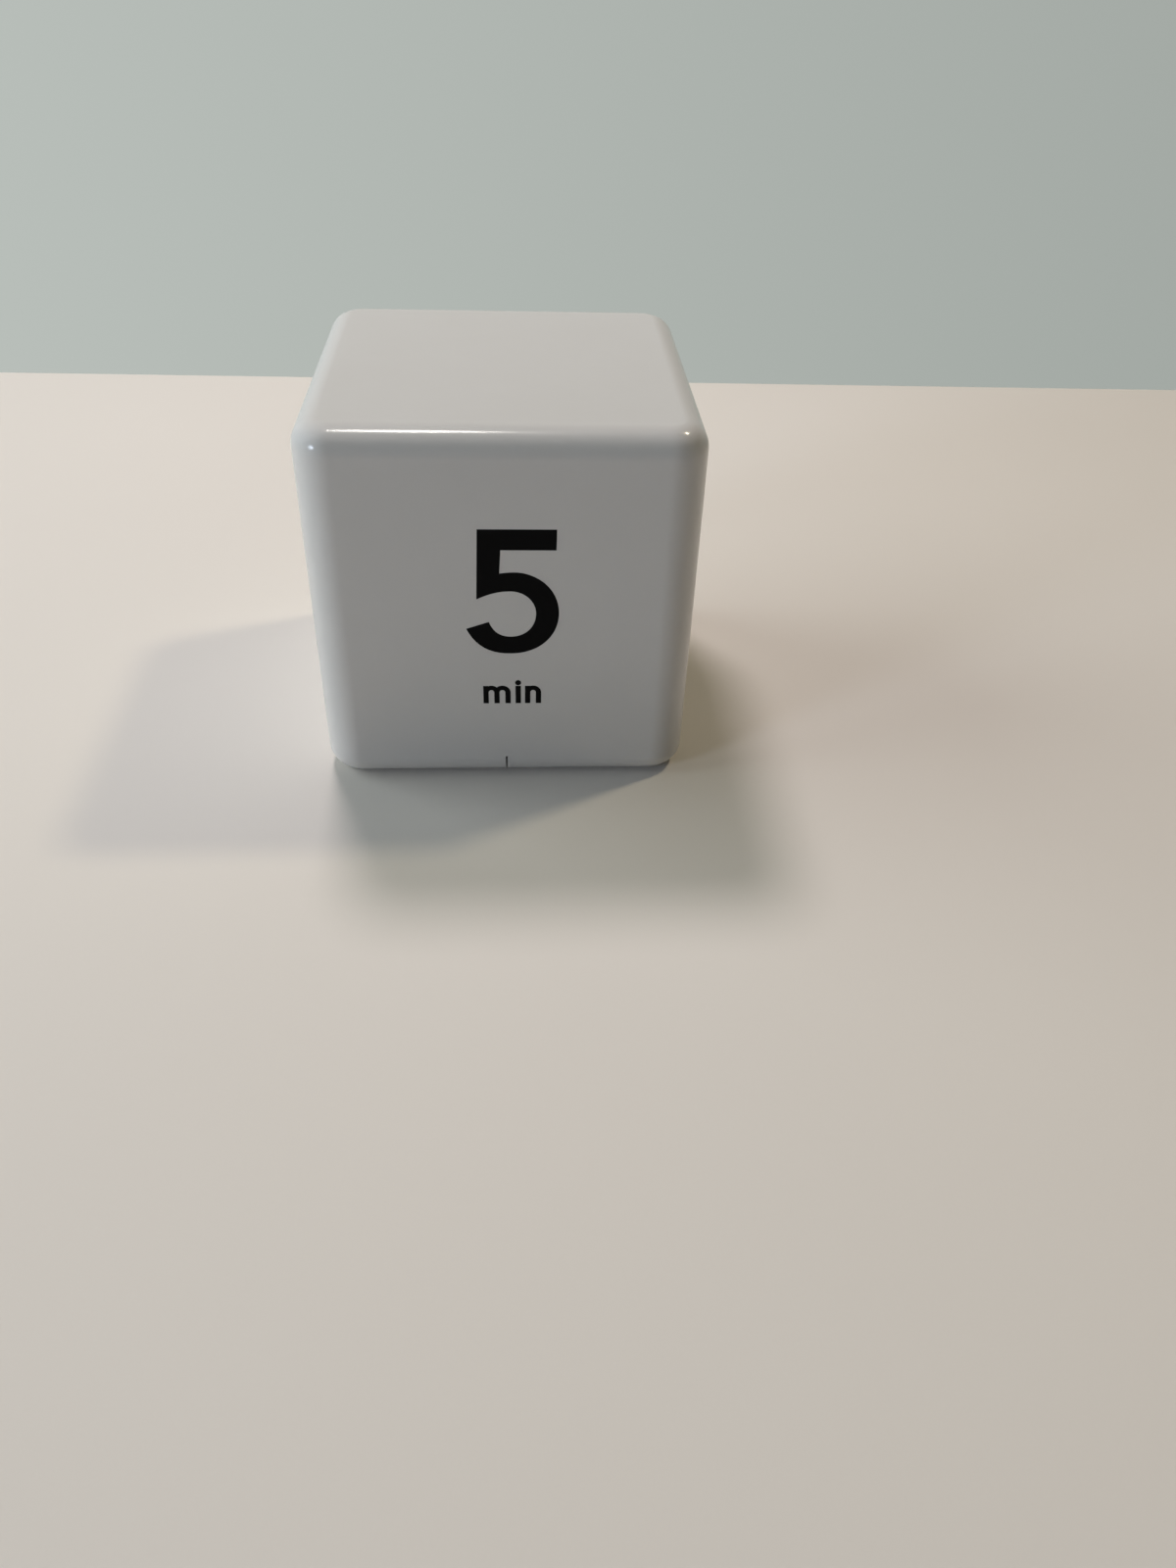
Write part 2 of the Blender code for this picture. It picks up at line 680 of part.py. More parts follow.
def face_cutters():
    """The window's seat, the switches' wells, the sound holes and the posts' pilot holes."""
    seat_level = WINDOW_SETBACK + WINDOW_THICKNESS + SEAT_GAP
    seat = new_object("window_seat", window_block(SLIP_GAP, -OVERRUN, seat_level))
    view = new_object("window_view", window_block(-VIEW_MARGIN, seat_level - BITE, PANEL_THICKNESS + OVERRUN))

    wells = []
    slots = []
    half_width = LEVER_WIDTH / 2 + LEVER_GAP
    for x in SWITCH_XS.values():
        low = (x - WELL_WIDTH / 2, BOARD_MIDDLE - HALF_SLOT - WELL_END_MARGIN, -OVERRUN)
        high = (x + WELL_WIDTH / 2, BOARD_MIDDLE + HALF_SLOT + WELL_END_MARGIN, WELL_DEPTH)
        wells.append(block(low, high, corner=WELL_RADIUS))
        low = (x - half_width, BOARD_MIDDLE - HALF_SLOT, WELL_DEPTH - BITE)
        high = (x + half_width, BOARD_MIDDLE + HALF_SLOT, PANEL_THICKNESS + OVERRUN)
        slots.append(block(low, high))

    holes = []
    y = OPENING_FRONT - SOUND_ROW_MARGIN
    for index in range(SOUND_HOLE_COUNT):
        x = (index - (SOUND_HOLE_COUNT - 1) / 2) * SOUND_HOLE_PITCH
        holes.append(rod(SOUND_HOLE_RADIUS, -OVERRUN, PANEL_THICKNESS + OVERRUN, (x, y), HOLE_SIDES))
    for place in board_corners():
        depth = ON_BOARD - SCREW_LENGTH - SEAT_GAP
        holes.append(rod(SCREW_RADIUS + SLIP_GAP, depth, BOARD_UNDERSIDE, place, HOLE_SIDES))
    return [
        seat,
        view,
        merged("switch_wells", wells),
        merged("lever_slots", slots),
        merged("sound_and_pilot_holes", holes),
    ]


def build_display(clear, glass, plastic, rubber):
    """The window, the display cell, its frame, and the strip that joins it to the board."""
    window = window_block(0, WINDOW_SETBACK, WINDOW_SETBACK + WINDOW_THICKNESS)
    even_shading(new_object("display_window", window, clear))

    half = LCD_HALF
    front, back = BOARD_MIDDLE - LCD_HALF_DEPTH, BOARD_MIDDLE + LCD_HALF_DEPTH
    low = PANEL_THICKNESS + SEAT_GAP
    step = low + LCD_GLASS
    top = step + LCD_GLASS
    cell = new_object("lcd_cell", block((-half, front, low), (half, back, step)), glass)
    rear = block((-half, front + LCD_LEDGE, step - BITE), (half, back, top))
    join(cell, new_object("lcd_rear_plate", rear))

    frame_top = BOARD_UNDERSIDE - SEAT_GAP
    reach = LCD_FRAME_REACH
    strip_y = front + LCD_LEDGE / 2
    strip_half = half - STRIP_END_GAP
    slot_half = STRIP_WIDTH / 2 + SLIP_GAP
    outside = block(
        (-half - reach, front - reach, low),
        (half + reach, back + reach, frame_top),
        corner=LCD_FRAME_WALL,
    )
    pocket = block(
        (-half - SEAT_GAP, front - SEAT_GAP, low - OVERRUN),
        (half + SEAT_GAP, back + SEAT_GAP, top + SEAT_GAP),
    )
    strip_slot = block(
        (-strip_half - SLIP_GAP, strip_y - slot_half, top),
        (strip_half + SLIP_GAP, strip_y + slot_half, frame_top + OVERRUN),
    )
    hollow = block(
        (-half + LCD_FRAME_WALL, strip_y + slot_half + LCD_FRAME_WALL, top),
        (half - LCD_FRAME_WALL, back - LCD_FRAME_WALL, frame_top + OVERRUN),
    )
    frame = new_object("lcd_frame", outside, plastic)
    cut(frame, new_object("lcd_pocket", pocket), merged("lcd_frame_openings", [strip_slot, hollow]))

    strip = block(
        (-strip_half, strip_y - STRIP_WIDTH / 2, step + SEAT_GAP),
        (strip_half, strip_y + STRIP_WIDTH / 2, frame_top),
    )
    new_object("contact_strip", strip, rubber)


def build_door(plastic):
    """The battery door, with tongues that hook over the panel in front and a sprung latch at the back."""
    low, high = (-DOOR_HALF, DOOR_FRONT, DOOR_SETBACK), (DOOR_HALF, DOOR_BACK, DOOR_TOP)
    door = new_object("battery_door", block(low, high, DOOR_CORNER_RADIUS), plastic)

    root = DOOR_TOP - BITE
    leg_inside = DOOR_BACK - LATCH_LEG
    slot_inside = leg_inside - LATCH_SLOT
    latch_inside = slot_inside - LATCH_LEG
    half_notch = LATCH_WIDTH / 2 + LATCH_SIDE_GAP
    notch = block(
        (-half_notch, slot_inside, DOOR_SETBACK - OVERRUN),
        (half_notch, DOOR_BACK + OVERRUN, DOOR_TOP + OVERRUN),
    )
    grooves = []
    for index in range(GRIP_GROOVES):
        y = slot_inside - GRIP_MARGIN - index * GRIP_PITCH
        low = (-GRIP_LENGTH / 2, y - GRIP_WIDTH / 2, DOOR_SETBACK - OVERRUN)
        high = (GRIP_LENGTH / 2, y + GRIP_WIDTH / 2, DOOR_SETBACK + GRIP_DEPTH)
        grooves.append(block(low, high))
    cut(door, new_object("latch_notch", notch), merged("grip_grooves", grooves))

    rib = block(
        (-DOOR_RIB_LENGTH / 2, BAY_MIDDLE - DOOR_RIB_WIDTH / 2, root),
        (DOOR_RIB_LENGTH / 2, BAY_MIDDLE + DOOR_RIB_WIDTH / 2, DOOR_TOP + DOOR_RIB_HEIGHT),
    )
    tongue_outline = [
        (OPENING_FRONT - TONGUE_REACH, TONGUE_LOW),
        (DOOR_FRONT, TONGUE_LOW),
        (DOOR_FRONT, root),
        (DOOR_FRONT + TONGUE_ROOT, root),
        (DOOR_FRONT + TONGUE_ROOT, TONGUE_TOP),
        (OPENING_FRONT - TONGUE_REACH, TONGUE_TOP),
    ]
    tongues = [
        extruded(
            tongue_outline,
            TONGUE_WIDTH,
            Matrix.Translation((way * TONGUE_SPREAD_SHARE * DOOR_HALF, 0, 0)) @ across_x(),
        )
        for way in (-1, 1)
    ]
    latch_outline = [
        (latch_inside, root),
        (slot_inside, root),
        (slot_inside, LATCH_TOP - LATCH_LEG),
        (leg_inside, LATCH_TOP - LATCH_LEG),
        (leg_inside, DOOR_SETBACK),
        (DOOR_BACK, DOOR_SETBACK),
        (DOOR_BACK, LATCH_TOP - 2 * LATCH_LEG),
        (DOOR_BACK - LATCH_LEG / 2, LATCH_TOP),
        (latch_inside, LATCH_TOP),
    ]
    latch = extruded(latch_outline, LATCH_WIDTH, across_x())
    join(door, merged("door_fittings", [rib, *tongues, latch]))
    even_shading(door)

    hinge = linked("door_hinge", None)
    hinge.location = (0, HINGE_Y, DOOR_SETBACK)
    door.parent = hinge
    door.matrix_parent_inverse = Matrix.Translation(hinge.location).inverted()


def build_cells(wrap):
    profile = [
        (0, CELL_LENGTH),
        (NUB_RADIUS, CELL_LENGTH),
        (NUB_RADIUS, CELL_LENGTH - NUB_LENGTH),
        (CELL_RADIUS - CELL_EDGE_RADIUS, CELL_LENGTH - NUB_LENGTH),
        (CELL_RADIUS, CELL_LENGTH - NUB_LENGTH - CELL_EDGE_RADIUS),
        (CELL_RADIUS, CELL_EDGE_RADIUS),
        (CELL_RADIUS - CELL_EDGE_RADIUS, 0),
        (0, 0),
    ]
    for name, y, way in (("front", CELL_FRONT_Y, -1), ("back", CELL_BACK_Y, 1)):
        cell = turned(f"battery_{name}", profile, ROUND_SIDES, wrap)
        foot = Matrix.Translation((way * (NUB_X - CELL_LENGTH), y, CELL_LEVEL))
        cell.matrix_world = foot @ degrees_about(way * 90, "Y")


def spring_points():
    """A cone-shaped spring on +Z, with a straight stretch at each end."""
    steps = round(SPRING_TURNS * SPRING_POINTS)
    straight = 2 * SPRING_WIRE
    coil = []
    for step in range(steps + 1):
        share = step / steps
        angle = 2 * math.pi * SPRING_TURNS * share
        radius = SPRING_BASE_RADIUS + (SPRING_TIP_RADIUS - SPRING_BASE_RADIUS) * share
        level = straight + (SPRING_LENGTH - 2 * straight) * share
        coil.append(Vector((radius * math.cos(angle), radius * math.sin(angle), level)))
    foot = Vector((coil[0].x, coil[0].y, -BITE))
    tip = Vector((coil[-1].x, coil[-1].y, SPRING_LENGTH))
    return [foot, *coil, tip]


def print_least_gap(points):
    """The smallest gap between turns of the spring, measured on its points."""
    half_turn = SPRING_POINTS // 2
    apart = min(
        (a - b).length for index, a in enumerate(points) for b in points[index + half_turn :]
    )
    print(f"battery spring: least gap between turns {(apart - 2 * SPRING_WIRE) * 1000:.2f} mm")


def facing_inward(way, y):
    """Takes +Z at the origin to a contact plate's inner face, pointing into the bay."""
    return Matrix.Translation((way * CONTACT_FACE, y, CELL_LEVEL)) @ degrees_about(-way * 90, "Y")


def spring_at(way, y):
    return meshed(tube("spring", spring_points(), SPRING_WIRE, LEAD_BEVEL_STEPS), facing_inward(way, y))


def dimple_at(way, y):
    dimple = rod(DIMPLE_RADIUS, -BITE, DIMPLE_HEIGHT, tip_radius=DIMPLE_RADIUS * DIMPLE_TIP_SHARE)
    dimple.transform(facing_inward(way, y))
    return dimple


def plate_at(way, outline):
    middle = way * (CONTACT_FACE + CONTACT_THICKNESS / 2)
    return extruded(outline, CONTACT_THICKNESS, Matrix.Translation((middle, 0, 0)) @ across_x())


def build_contacts(metal):
    """A dimple for each nub and a spring for each flat end. The bridge puts the cells in series."""
    print_least_gap(spring_points())
    half = CELL_RADIUS - CONTACT_MARGIN
    low, high = CELL_LEVEL - CONTACT_HEIGHT / 2, CELL_LEVEL + CONTACT_HEIGHT / 2
    for name, y, fitting in (
        ("positive_contact", CELL_FRONT_Y, dimple_at),
        ("negative_contact", CELL_BACK_Y, spring_at),
    ):
        outline = [
            (y - half, low),
            (y + half, low),
            (y + half, high),
            (y + TAB_WIDTH / 2, high),
            (y + TAB_WIDTH / 2, TAB_TOP),
            (y - TAB_WIDTH / 2, TAB_TOP),
            (y - TAB_WIDTH / 2, high),
            (y - half, high),
        ]
        contact = new_object(name, plate_at(-1, outline), metal)
        join(contact, new_object(f"{name}_fitting", fitting(-1, y)))

    waist_low, waist_high = CELL_LEVEL - WAIST_HEIGHT / 2, CELL_LEVEL + WAIST_HEIGHT / 2
    outline = [
        (CELL_FRONT_Y - half, low),
        (CELL_FRONT_Y + half, low),
        (CELL_FRONT_Y + half, waist_low),
        (CELL_BACK_Y - half, waist_low),
        (CELL_BACK_Y - half, low),
        (CELL_BACK_Y + half, low),
        (CELL_BACK_Y + half, high),
        (CELL_BACK_Y - half, high),
        (CELL_BACK_Y - half, waist_high),
        (CELL_FRONT_Y + half, waist_high),
        (CELL_FRONT_Y + half, high),
        (CELL_FRONT_Y - half, high),
    ]
    bridge = new_object("contact_bridge", plate_at(1, outline), metal)
    join(bridge, merged("bridge_fittings", [spring_at(1, CELL_FRONT_Y), dimple_at(1, CELL_BACK_Y)]))


def straight_leads(name, places, top):
    """Leads that stand in the board's holes, cut off flush with its underside."""
    return merged(name, [rod(LEAD_RADIUS, BOARD_UNDERSIDE, top, place, HOLE_SIDES) for place in places])


def bent_lead(start, bend):
    """A lead that runs from start to the bend and then straight down into the board."""
    foot = Vector((bend.x, bend.y, BOARD_UNDERSIDE))
    return meshed(tube("lead", bent([start, bend, foot], LEAD_BEND), LEAD_RADIUS, LEAD_BEVEL_STEPS))


def build_slide_switches(metal, laminate, plastic):
    """Two slide switches under the board, with their levers in wells in the panel. Returns pin places."""
    pins = []
    inside_half = SWITCH_WIDTH / 2 - SWITCH_SHEET
    inside_reach = SWITCH_LENGTH / 2 - SWITCH_SHEET
    floor = SWITCH_LOW + SWITCH_SHEET
    base_low = SWITCH_TOP - SWITCH_BASE_THICKNESS
    for name, x in SWITCH_XS.items():
        can = block(
            (x - SWITCH_WIDTH / 2, BOARD_MIDDLE - SWITCH_LENGTH / 2, SWITCH_LOW),
            (x + SWITCH_WIDTH / 2, BOARD_MIDDLE + SWITCH_LENGTH / 2, SWITCH_TOP),
        )
        hollow = block(
            (x - inside_half, BOARD_MIDDLE - inside_reach, floor),
            (x + inside_half, BOARD_MIDDLE + inside_reach, SWITCH_TOP + OVERRUN),
        )
        slot = block(
            (x - LEVER_WIDTH / 2 - SLIP_GAP, BOARD_MIDDLE - HALF_SLOT, SWITCH_LOW - OVERRUN),
            (x + LEVER_WIDTH / 2 + SLIP_GAP, BOARD_MIDDLE + HALF_SLOT, floor + BITE),
        )
        frame = new_object(f"{name}_switch_frame", can, metal)
        cut(frame, new_object(f"{name}_switch_hollow", hollow), new_object(f"{name}_switch_slot", slot))

        base = block(
            (x - inside_half + CLOSE_GAP, BOARD_MIDDLE - inside_reach + CLOSE_GAP, base_low),
            (x + inside_half - CLOSE_GAP, BOARD_MIDDLE + inside_reach - CLOSE_GAP, SWITCH_TOP),
        )
        places = [(x, BOARD_MIDDLE + step * SWITCH_PIN_PITCH) for step in (-1, 0, 1)]
        top = BOARD_TOP + PIN_STUB
        rods = [rod(LEAD_RADIUS, SWITCH_TOP - BITE, top, place, HOLE_SIDES) for place in places]
        switch_base = new_object(f"{name}_switch_base", base, laminate)
        join(switch_base, merged(f"{name}_switch_pins", rods))
        pins += places

        build_lever(name, x, floor + CLOSE_GAP, base_low - CLOSE_GAP, plastic)
    return pins


def build_lever(name, x, low, high, plastic):
    """A switch's sliding piece, at the front end of its travel. Its origin is where the lever's tip is."""
    slider = block(
        (-SLIDER_WIDTH / 2, -SLIDER_LENGTH / 2, low - LEVER_SETBACK),
        (SLIDER_WIDTH / 2, SLIDER_LENGTH / 2, high - LEVER_SETBACK),
    )
    stem = block(
        (-LEVER_WIDTH / 2, -LEVER_LENGTH / 2, 0),
        (LEVER_WIDTH / 2, LEVER_LENGTH / 2, low - LEVER_SETBACK + BITE),
    )
    groove_xs = LEVER_WIDTH / 2 + OVERRUN
    grooves = [
        block(
            (-groove_xs, y - LEVER_GROOVE / 2, -OVERRUN),
            (groove_xs, y + LEVER_GROOVE / 2, LEVER_GROOVE),
        )
        for y in (-LEVER_LENGTH / 4, 0, LEVER_LENGTH / 4)
    ]
    place = Vector((x, BOARD_MIDDLE - SWITCH_TRAVEL / 2, LEVER_SETBACK))
    lever = new_object(f"{name}_switch_lever", slider, plastic)
    helpers = (new_object(f"{name}_lever_stem", stem), merged(f"{name}_lever_grooves", grooves))
    for obj in (lever, *helpers):
        obj.location = place
    join(lever, helpers[0])
    cut(lever, helpers[1])


def tipped(heading, place):
    """Takes +Z to a ball switch's heading, with the pins' end raised and the can clear of the board."""
    tilt = math.radians(CAN_TILT)
    level = ON_BOARD + CAN_LENGTH / 2 * math.sin(tilt) + CAN_RADIUS * math.cos(tilt)
    raised = degrees_about(heading, "Z") @ degrees_about(90 - CAN_TILT, "Y")
    return Matrix.Translation((*place, level)) @ raised


def build_ball_switches(metal, plastic, ball_metal):
    """Four cans, each with a ball that closes two pins when their end points down. Returns lead places."""
    half = CAN_LENGTH / 2
    can_profile = [
        (0, -half + CAN_SHEET),
        (CAN_INNER, -half + CAN_SHEET),
        (CAN_INNER, half),
        (CAN_RADIUS, half),
        (CAN_RADIUS, -half + CAN_EDGE),
        (CAN_RADIUS - CAN_EDGE, -half),
        (0, -half),
    ]
    holes = []
    for name, heading, shares in BALL_SWITCHES:
        placing = tipped(heading, board_place(shares))
        can = turned(f"{name}_ball_switch_can", can_profile, SMALL_SIDES, metal)
        can.matrix_world = placing

        disc = rod(CAN_INNER - CLOSE_GAP, half - PLUG_THICKNESS, half)
        disc.transform(placing)
        plug = new_object(f"{name}_ball_switch_plug", disc, plastic)
        leads = []
        for y in (-PIN_SPREAD, PIN_SPREAD):
            start = placing @ Vector((0, y, half - PLUG_THICKNESS - PIN_REACH))
            bend = placing @ Vector((0, y, half + LEAD_REACH))
            leads.append(bent_lead(start, bend))
            holes.append((bend.x, bend.y))
        join(plug, merged(f"{name}_ball_switch_leads", leads))

        sphere = bmesh.new()
        bmesh.ops.create_uvsphere(sphere, u_segments=SMALL_SIDES, v_segments=HOLE_SIDES, radius=BALL_RADIUS)
        ball = new_object(f"{name}_ball_switch_ball", sphere, ball_metal)
        ball.matrix_world = placing @ Matrix.Translation((0, 0, BALL_REST))
    return holes


def build_buzzer(plastic):
    """Returns where its leads go through the board, as the next functions do."""
    x, y = board_place(BUZZER_PLACE_SHARES)
    profile = [
        (0, BUZZER_HEIGHT - BUZZER_HOLE_DEPTH),
        (BUZZER_HOLE_RADIUS, BUZZER_HEIGHT - BUZZER_HOLE_DEPTH),
        (BUZZER_HOLE_RADIUS, BUZZER_HEIGHT),
        (BUZZER_RADIUS - BUZZER_EDGE, BUZZER_HEIGHT),
        (BUZZER_RADIUS, BUZZER_HEIGHT - BUZZER_EDGE),
        (BUZZER_RADIUS, 0),
        (0, 0),
    ]
    buzzer = turned("buzzer", profile, ROUND_SIDES, plastic)
    buzzer.location = (x, y, ON_BOARD)
    places = [(x - BUZZER_LEAD_SPREAD, y), (x + BUZZER_LEAD_SPREAD, y)]
    join(buzzer, straight_leads("buzzer_leads", places, ON_BOARD + BITE))
    return places


def build_capacitor(sleeve):
    x, y = board_place(CAPACITOR_PLACE_SHARES)
    waist = CAPACITOR_RADIUS - CAPACITOR_CRIMP
    profile = [
        (0, CAPACITOR_HEIGHT),
        (CAPACITOR_RADIUS - CAPACITOR_EDGE, CAPACITOR_HEIGHT),
        (CAPACITOR_RADIUS, CAPACITOR_HEIGHT - CAPACITOR_EDGE),
        (CAPACITOR_RADIUS, 4 * CAPACITOR_EDGE),
        (waist, 3 * CAPACITOR_EDGE),
        (CAPACITOR_RADIUS, 2 * CAPACITOR_EDGE),
        (CAPACITOR_RADIUS, CAPACITOR_EDGE),
        (CAPACITOR_RADIUS - CAPACITOR_EDGE, 0),
        (0, 0),
    ]
    capacitor = turned("capacitor", profile, SMALL_SIDES, sleeve)
    capacitor.location = (x, y, ON_BOARD)
    places = [(x - CAPACITOR_LEAD_SPREAD, y), (x + CAPACITOR_LEAD_SPREAD, y)]
    join(capacitor, straight_leads("capacitor_leads", places, ON_BOARD + BITE))
    return places


def build_transistor(plastic):
    """A D-shaped case on three leads."""
    x, y = board_place(TRANSISTOR_PLACE_SHARES)
    start = -math.asin(TRANSISTOR_FLAT / TRANSISTOR_RADIUS)
    end = math.pi - start
    outline = []
    for step in range(SMALL_SIDES + 1):
        angle = start + (end - start) * step / SMALL_SIDES
        outline.append((TRANSISTOR_RADIUS * math.cos(angle), TRANSISTOR_RADIUS * math.sin(angle)))
    middle = ON_BOARD + TRANSISTOR_STANDOFF + TRANSISTOR_HEIGHT / 2
    case = extruded(outline, TRANSISTOR_HEIGHT, Matrix.Translation((x, y, middle)))
    transistor = new_object("transistor", case, plastic)
    places = [(x + step * TRANSISTOR_LEAD_PITCH, y) for step in (-1, 0, 1)]
    join(transistor, straight_leads("transistor_leads", places, ON_BOARD + TRANSISTOR_STANDOFF + BITE))
    return places


def build_crystal(metal):
    """A small can that lies on the board."""
    x, y = board_place(CRYSTAL_PLACE_SHARES)
    profile = [
        (0, CRYSTAL_LENGTH),
        (CRYSTAL_RADIUS, CRYSTAL_LENGTH),
        (CRYSTAL_RADIUS, CRYSTAL_EDGE),
        (CRYSTAL_RADIUS - CRYSTAL_EDGE, 0),
        (0, 0),
    ]
    placing = Matrix.Translation((x - CRYSTAL_LENGTH / 2, y, ON_BOARD + CRYSTAL_RADIUS))
    placing = placing @ degrees_about(90, "Y")
    crystal = turned("crystal", profile, SMALL_SIDES, metal)
    crystal.matrix_world = placing
    leads = []
    places = []
    for way in (-1, 1):
        start = placing @ Vector((0, way * CRYSTAL_LEAD_SPREAD, CRYSTAL_LENGTH - BITE))
        bend = placing @ Vector((0, way * CRYSTAL_HOLE_SPREAD, CRYSTAL_LENGTH + CRYSTAL_LEAD_REACH))
        leads.append(bent_lead(start, bend))
        places.append((bend.x, bend.y))
    join(crystal, merged("crystal_leads", leads))
    return places


def build_chip(resin):
    """A drop of resin, as a cap of a ball."""
    radius = (CHIP_RADIUS**2 + CHIP_HEIGHT**2) / (2 * CHIP_HEIGHT)
    spread = math.asin(CHIP_RADIUS / radius)
    profile = []
    for ring in range(CHIP_RINGS + 1):
        angle = spread * ring / CHIP_RINGS
        profile.append((radius * math.sin(angle), radius * math.cos(angle) - radius + CHIP_HEIGHT))
    profile.append((0, 0))
    chip = turned("chip", profile, SMALL_SIDES, resin)
    chip.location = (*board_place(CHIP_PLACE_SHARES), ON_BOARD)


def build_board(laminate, lead_places):
    low = (-BOARD_HALF, BOARD_FRONT, BOARD_UNDERSIDE)
    high = (BOARD_HALF, BOARD_BACK, BOARD_TOP)
    board = new_object("circuit_board", block(low, high, BOARD_RADIUS), laminate)
    low, high = BOARD_UNDERSIDE - OVERRUN, BOARD_TOP + OVERRUN
    holes = [rod(LEAD_HOLE_RADIUS, low, high, place, HOLE_SIDES) for place in lead_places]
    holes += [rod(SCREW_RADIUS + SLIP_GAP, low, high, place, SMALL_SIDES) for place in board_corners()]
    cut(board, merged("board_holes", holes))


def build_board_screws(metal):
    profile = [
        (0, SCREW_HEAD_HEIGHT),
        (SCREW_HEAD_RADIUS - SCREW_HEAD_EDGE, SCREW_HEAD_HEIGHT),
        (SCREW_HEAD_RADIUS, SCREW_HEAD_HEIGHT - SCREW_HEAD_EDGE),
        (SCREW_HEAD_RADIUS, 0),
        (SCREW_RADIUS, 0),
        (SCREW_RADIUS, -SCREW_LENGTH + SCREW_RADIUS),
        (0, -SCREW_LENGTH),
    ]
    for index, place in enumerate(board_corners()):
        screw = turned(f"board_screw_{index + 1}", profile, SMALL_SIDES, metal)
        screw.location = (*place, ON_BOARD)
        half, reach = DRIVE_WIDTH / 2, DRIVE_LENGTH / 2
        low, high = SCREW_HEAD_HEIGHT - DRIVE_DEPTH, SCREW_HEAD_HEIGHT + OVERRUN
        drive = new_object(f"screw_drive_{index + 1}", block((-reach, -half, low), (reach, half, high)))
        join(drive, new_object(f"screw_cross_{index + 1}", block((-half, -reach, low), (half, reach, high))))
        for obj in (drive, drive.modifiers[0].object):
            obj.location = screw.location
        cut(screw, drive)


def build_battery_leads(surfaces):
    """From each solder tab, over the bay and down to its pad on the board."""
    tab_x = -CONTACT_FACE + SEAT_GAP + WIRE_RADIUS
    for colour, tab_y in (("red", CELL_FRONT_Y), ("black", CELL_BACK_Y)):
        x, y = board_place(PAD_PLACE_SHARES[colour])
        route = [
            Vector((tab_x, tab_y, ROOF_TOP + SEAT_GAP + WIRE_RADIUS)),
            Vector((x + WIRE_LEAN_SHARE * (tab_x - x), BAY_SHELL_FRONT, ROOF_TOP + WIRE_HOP)),
            Vector((x, y, ON_BOARD + WIRE_DROP)),
            Vector((x, y, ON_BOARD)),
        ]
        points = smooth_route(route, WIRE_SAMPLES)
        curve = tube(f"{colour}_battery_lead", points, WIRE_RADIUS, WIRE_BEVEL_STEPS)
        linked(curve.name, curve, surfaces[colour])


def main():
    clear_scene()
    white = material("white_plastic", (0.80, 0.80, 0.79), 0.32)
    clear = material("window_plastic", (0.75, 0.78, 0.78), 0.08, alpha=0.35)
    glass = material("lcd_glass", (0.42, 0.47, 0.42), 0.15)
    black = material("black_plastic", (0.03, 0.03, 0.03), 0.45)
    rubber = material("contact_rubber", (0.12, 0.12, 0.13), 0.7)
    wrap = material("battery_wrap", (0.10, 0.11, 0.12), 0.35, metallic=0.3)
    nickel = material("nickel", (0.72, 0.71, 0.68), 0.28, metallic=1.0)
    laminate = material("board_laminate", (0.05, 0.20, 0.09), 0.5)
    phenolic = material("phenolic", (0.32, 0.19, 0.09), 0.6)
    gold = material("gold_plate", (0.83, 0.66, 0.32), 0.25, metallic=1.0)
    sleeve = material("capacitor_sleeve", (0.05, 0.07, 0.22), 0.4)
    resin = material("chip_resin", (0.015, 0.015, 0.017), 0.35)
    insulation = {
        "red": material("red_insulation", (0.55, 0.03, 0.03), 0.45),
        "black": material("black_insulation", (0.02, 0.02, 0.02), 0.45),
    }

    build_housing(white)
    build_panel(white)
    build_bay(white)
    build_display(clear, glass, black, rubber)
    build_door(white)
    build_cells(wrap)
    build_contacts(nickel)
    lead_places = build_slide_switches(nickel, phenolic, black)
    lead_places += build_ball_switches(gold, black, gold)
    lead_places += build_buzzer(black)
    lead_places += build_capacitor(sleeve)
    lead_places += build_transistor(black)
    lead_places += build_crystal(nickel)
    build_chip(resin)
    build_board(laminate, lead_places)
    build_board_screws(nickel)
    build_battery_leads(insulation)


main()
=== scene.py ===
import json
import math

import bmesh
import bpy
from mathutils import Matrix, Vector


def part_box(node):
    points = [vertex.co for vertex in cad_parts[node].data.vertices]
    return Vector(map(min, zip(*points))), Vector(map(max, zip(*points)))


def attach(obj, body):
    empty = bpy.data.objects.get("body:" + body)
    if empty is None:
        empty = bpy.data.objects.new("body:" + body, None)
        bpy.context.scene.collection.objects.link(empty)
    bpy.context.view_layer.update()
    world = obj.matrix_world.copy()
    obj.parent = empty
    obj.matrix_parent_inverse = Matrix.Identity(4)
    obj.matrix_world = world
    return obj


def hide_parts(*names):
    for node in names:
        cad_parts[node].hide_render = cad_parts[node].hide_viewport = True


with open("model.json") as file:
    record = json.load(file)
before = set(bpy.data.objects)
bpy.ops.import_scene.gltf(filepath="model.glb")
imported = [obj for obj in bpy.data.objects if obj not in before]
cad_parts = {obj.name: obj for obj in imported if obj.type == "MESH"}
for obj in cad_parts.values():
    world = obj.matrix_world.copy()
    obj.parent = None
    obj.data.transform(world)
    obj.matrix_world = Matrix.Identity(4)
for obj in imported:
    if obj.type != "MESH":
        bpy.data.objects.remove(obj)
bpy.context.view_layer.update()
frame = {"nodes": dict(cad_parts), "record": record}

# Looks of the cube timer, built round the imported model. Metres, front face towards -Y.
mm = 0.001
halfCube = 31.75 * mm  # from the middle of the cube to a face
near = 0.001 * mm  # places closer than this count as one
bite = 0.3 * mm  # how far a part reaches into the one that it is joined to
past = 1 * mm  # how far a cutting shape reaches past what it cuts
print("cube timer: frame loaded,", len(frame["nodes"]), "nodes")


# How the pieces are worked: select, edit, finish.

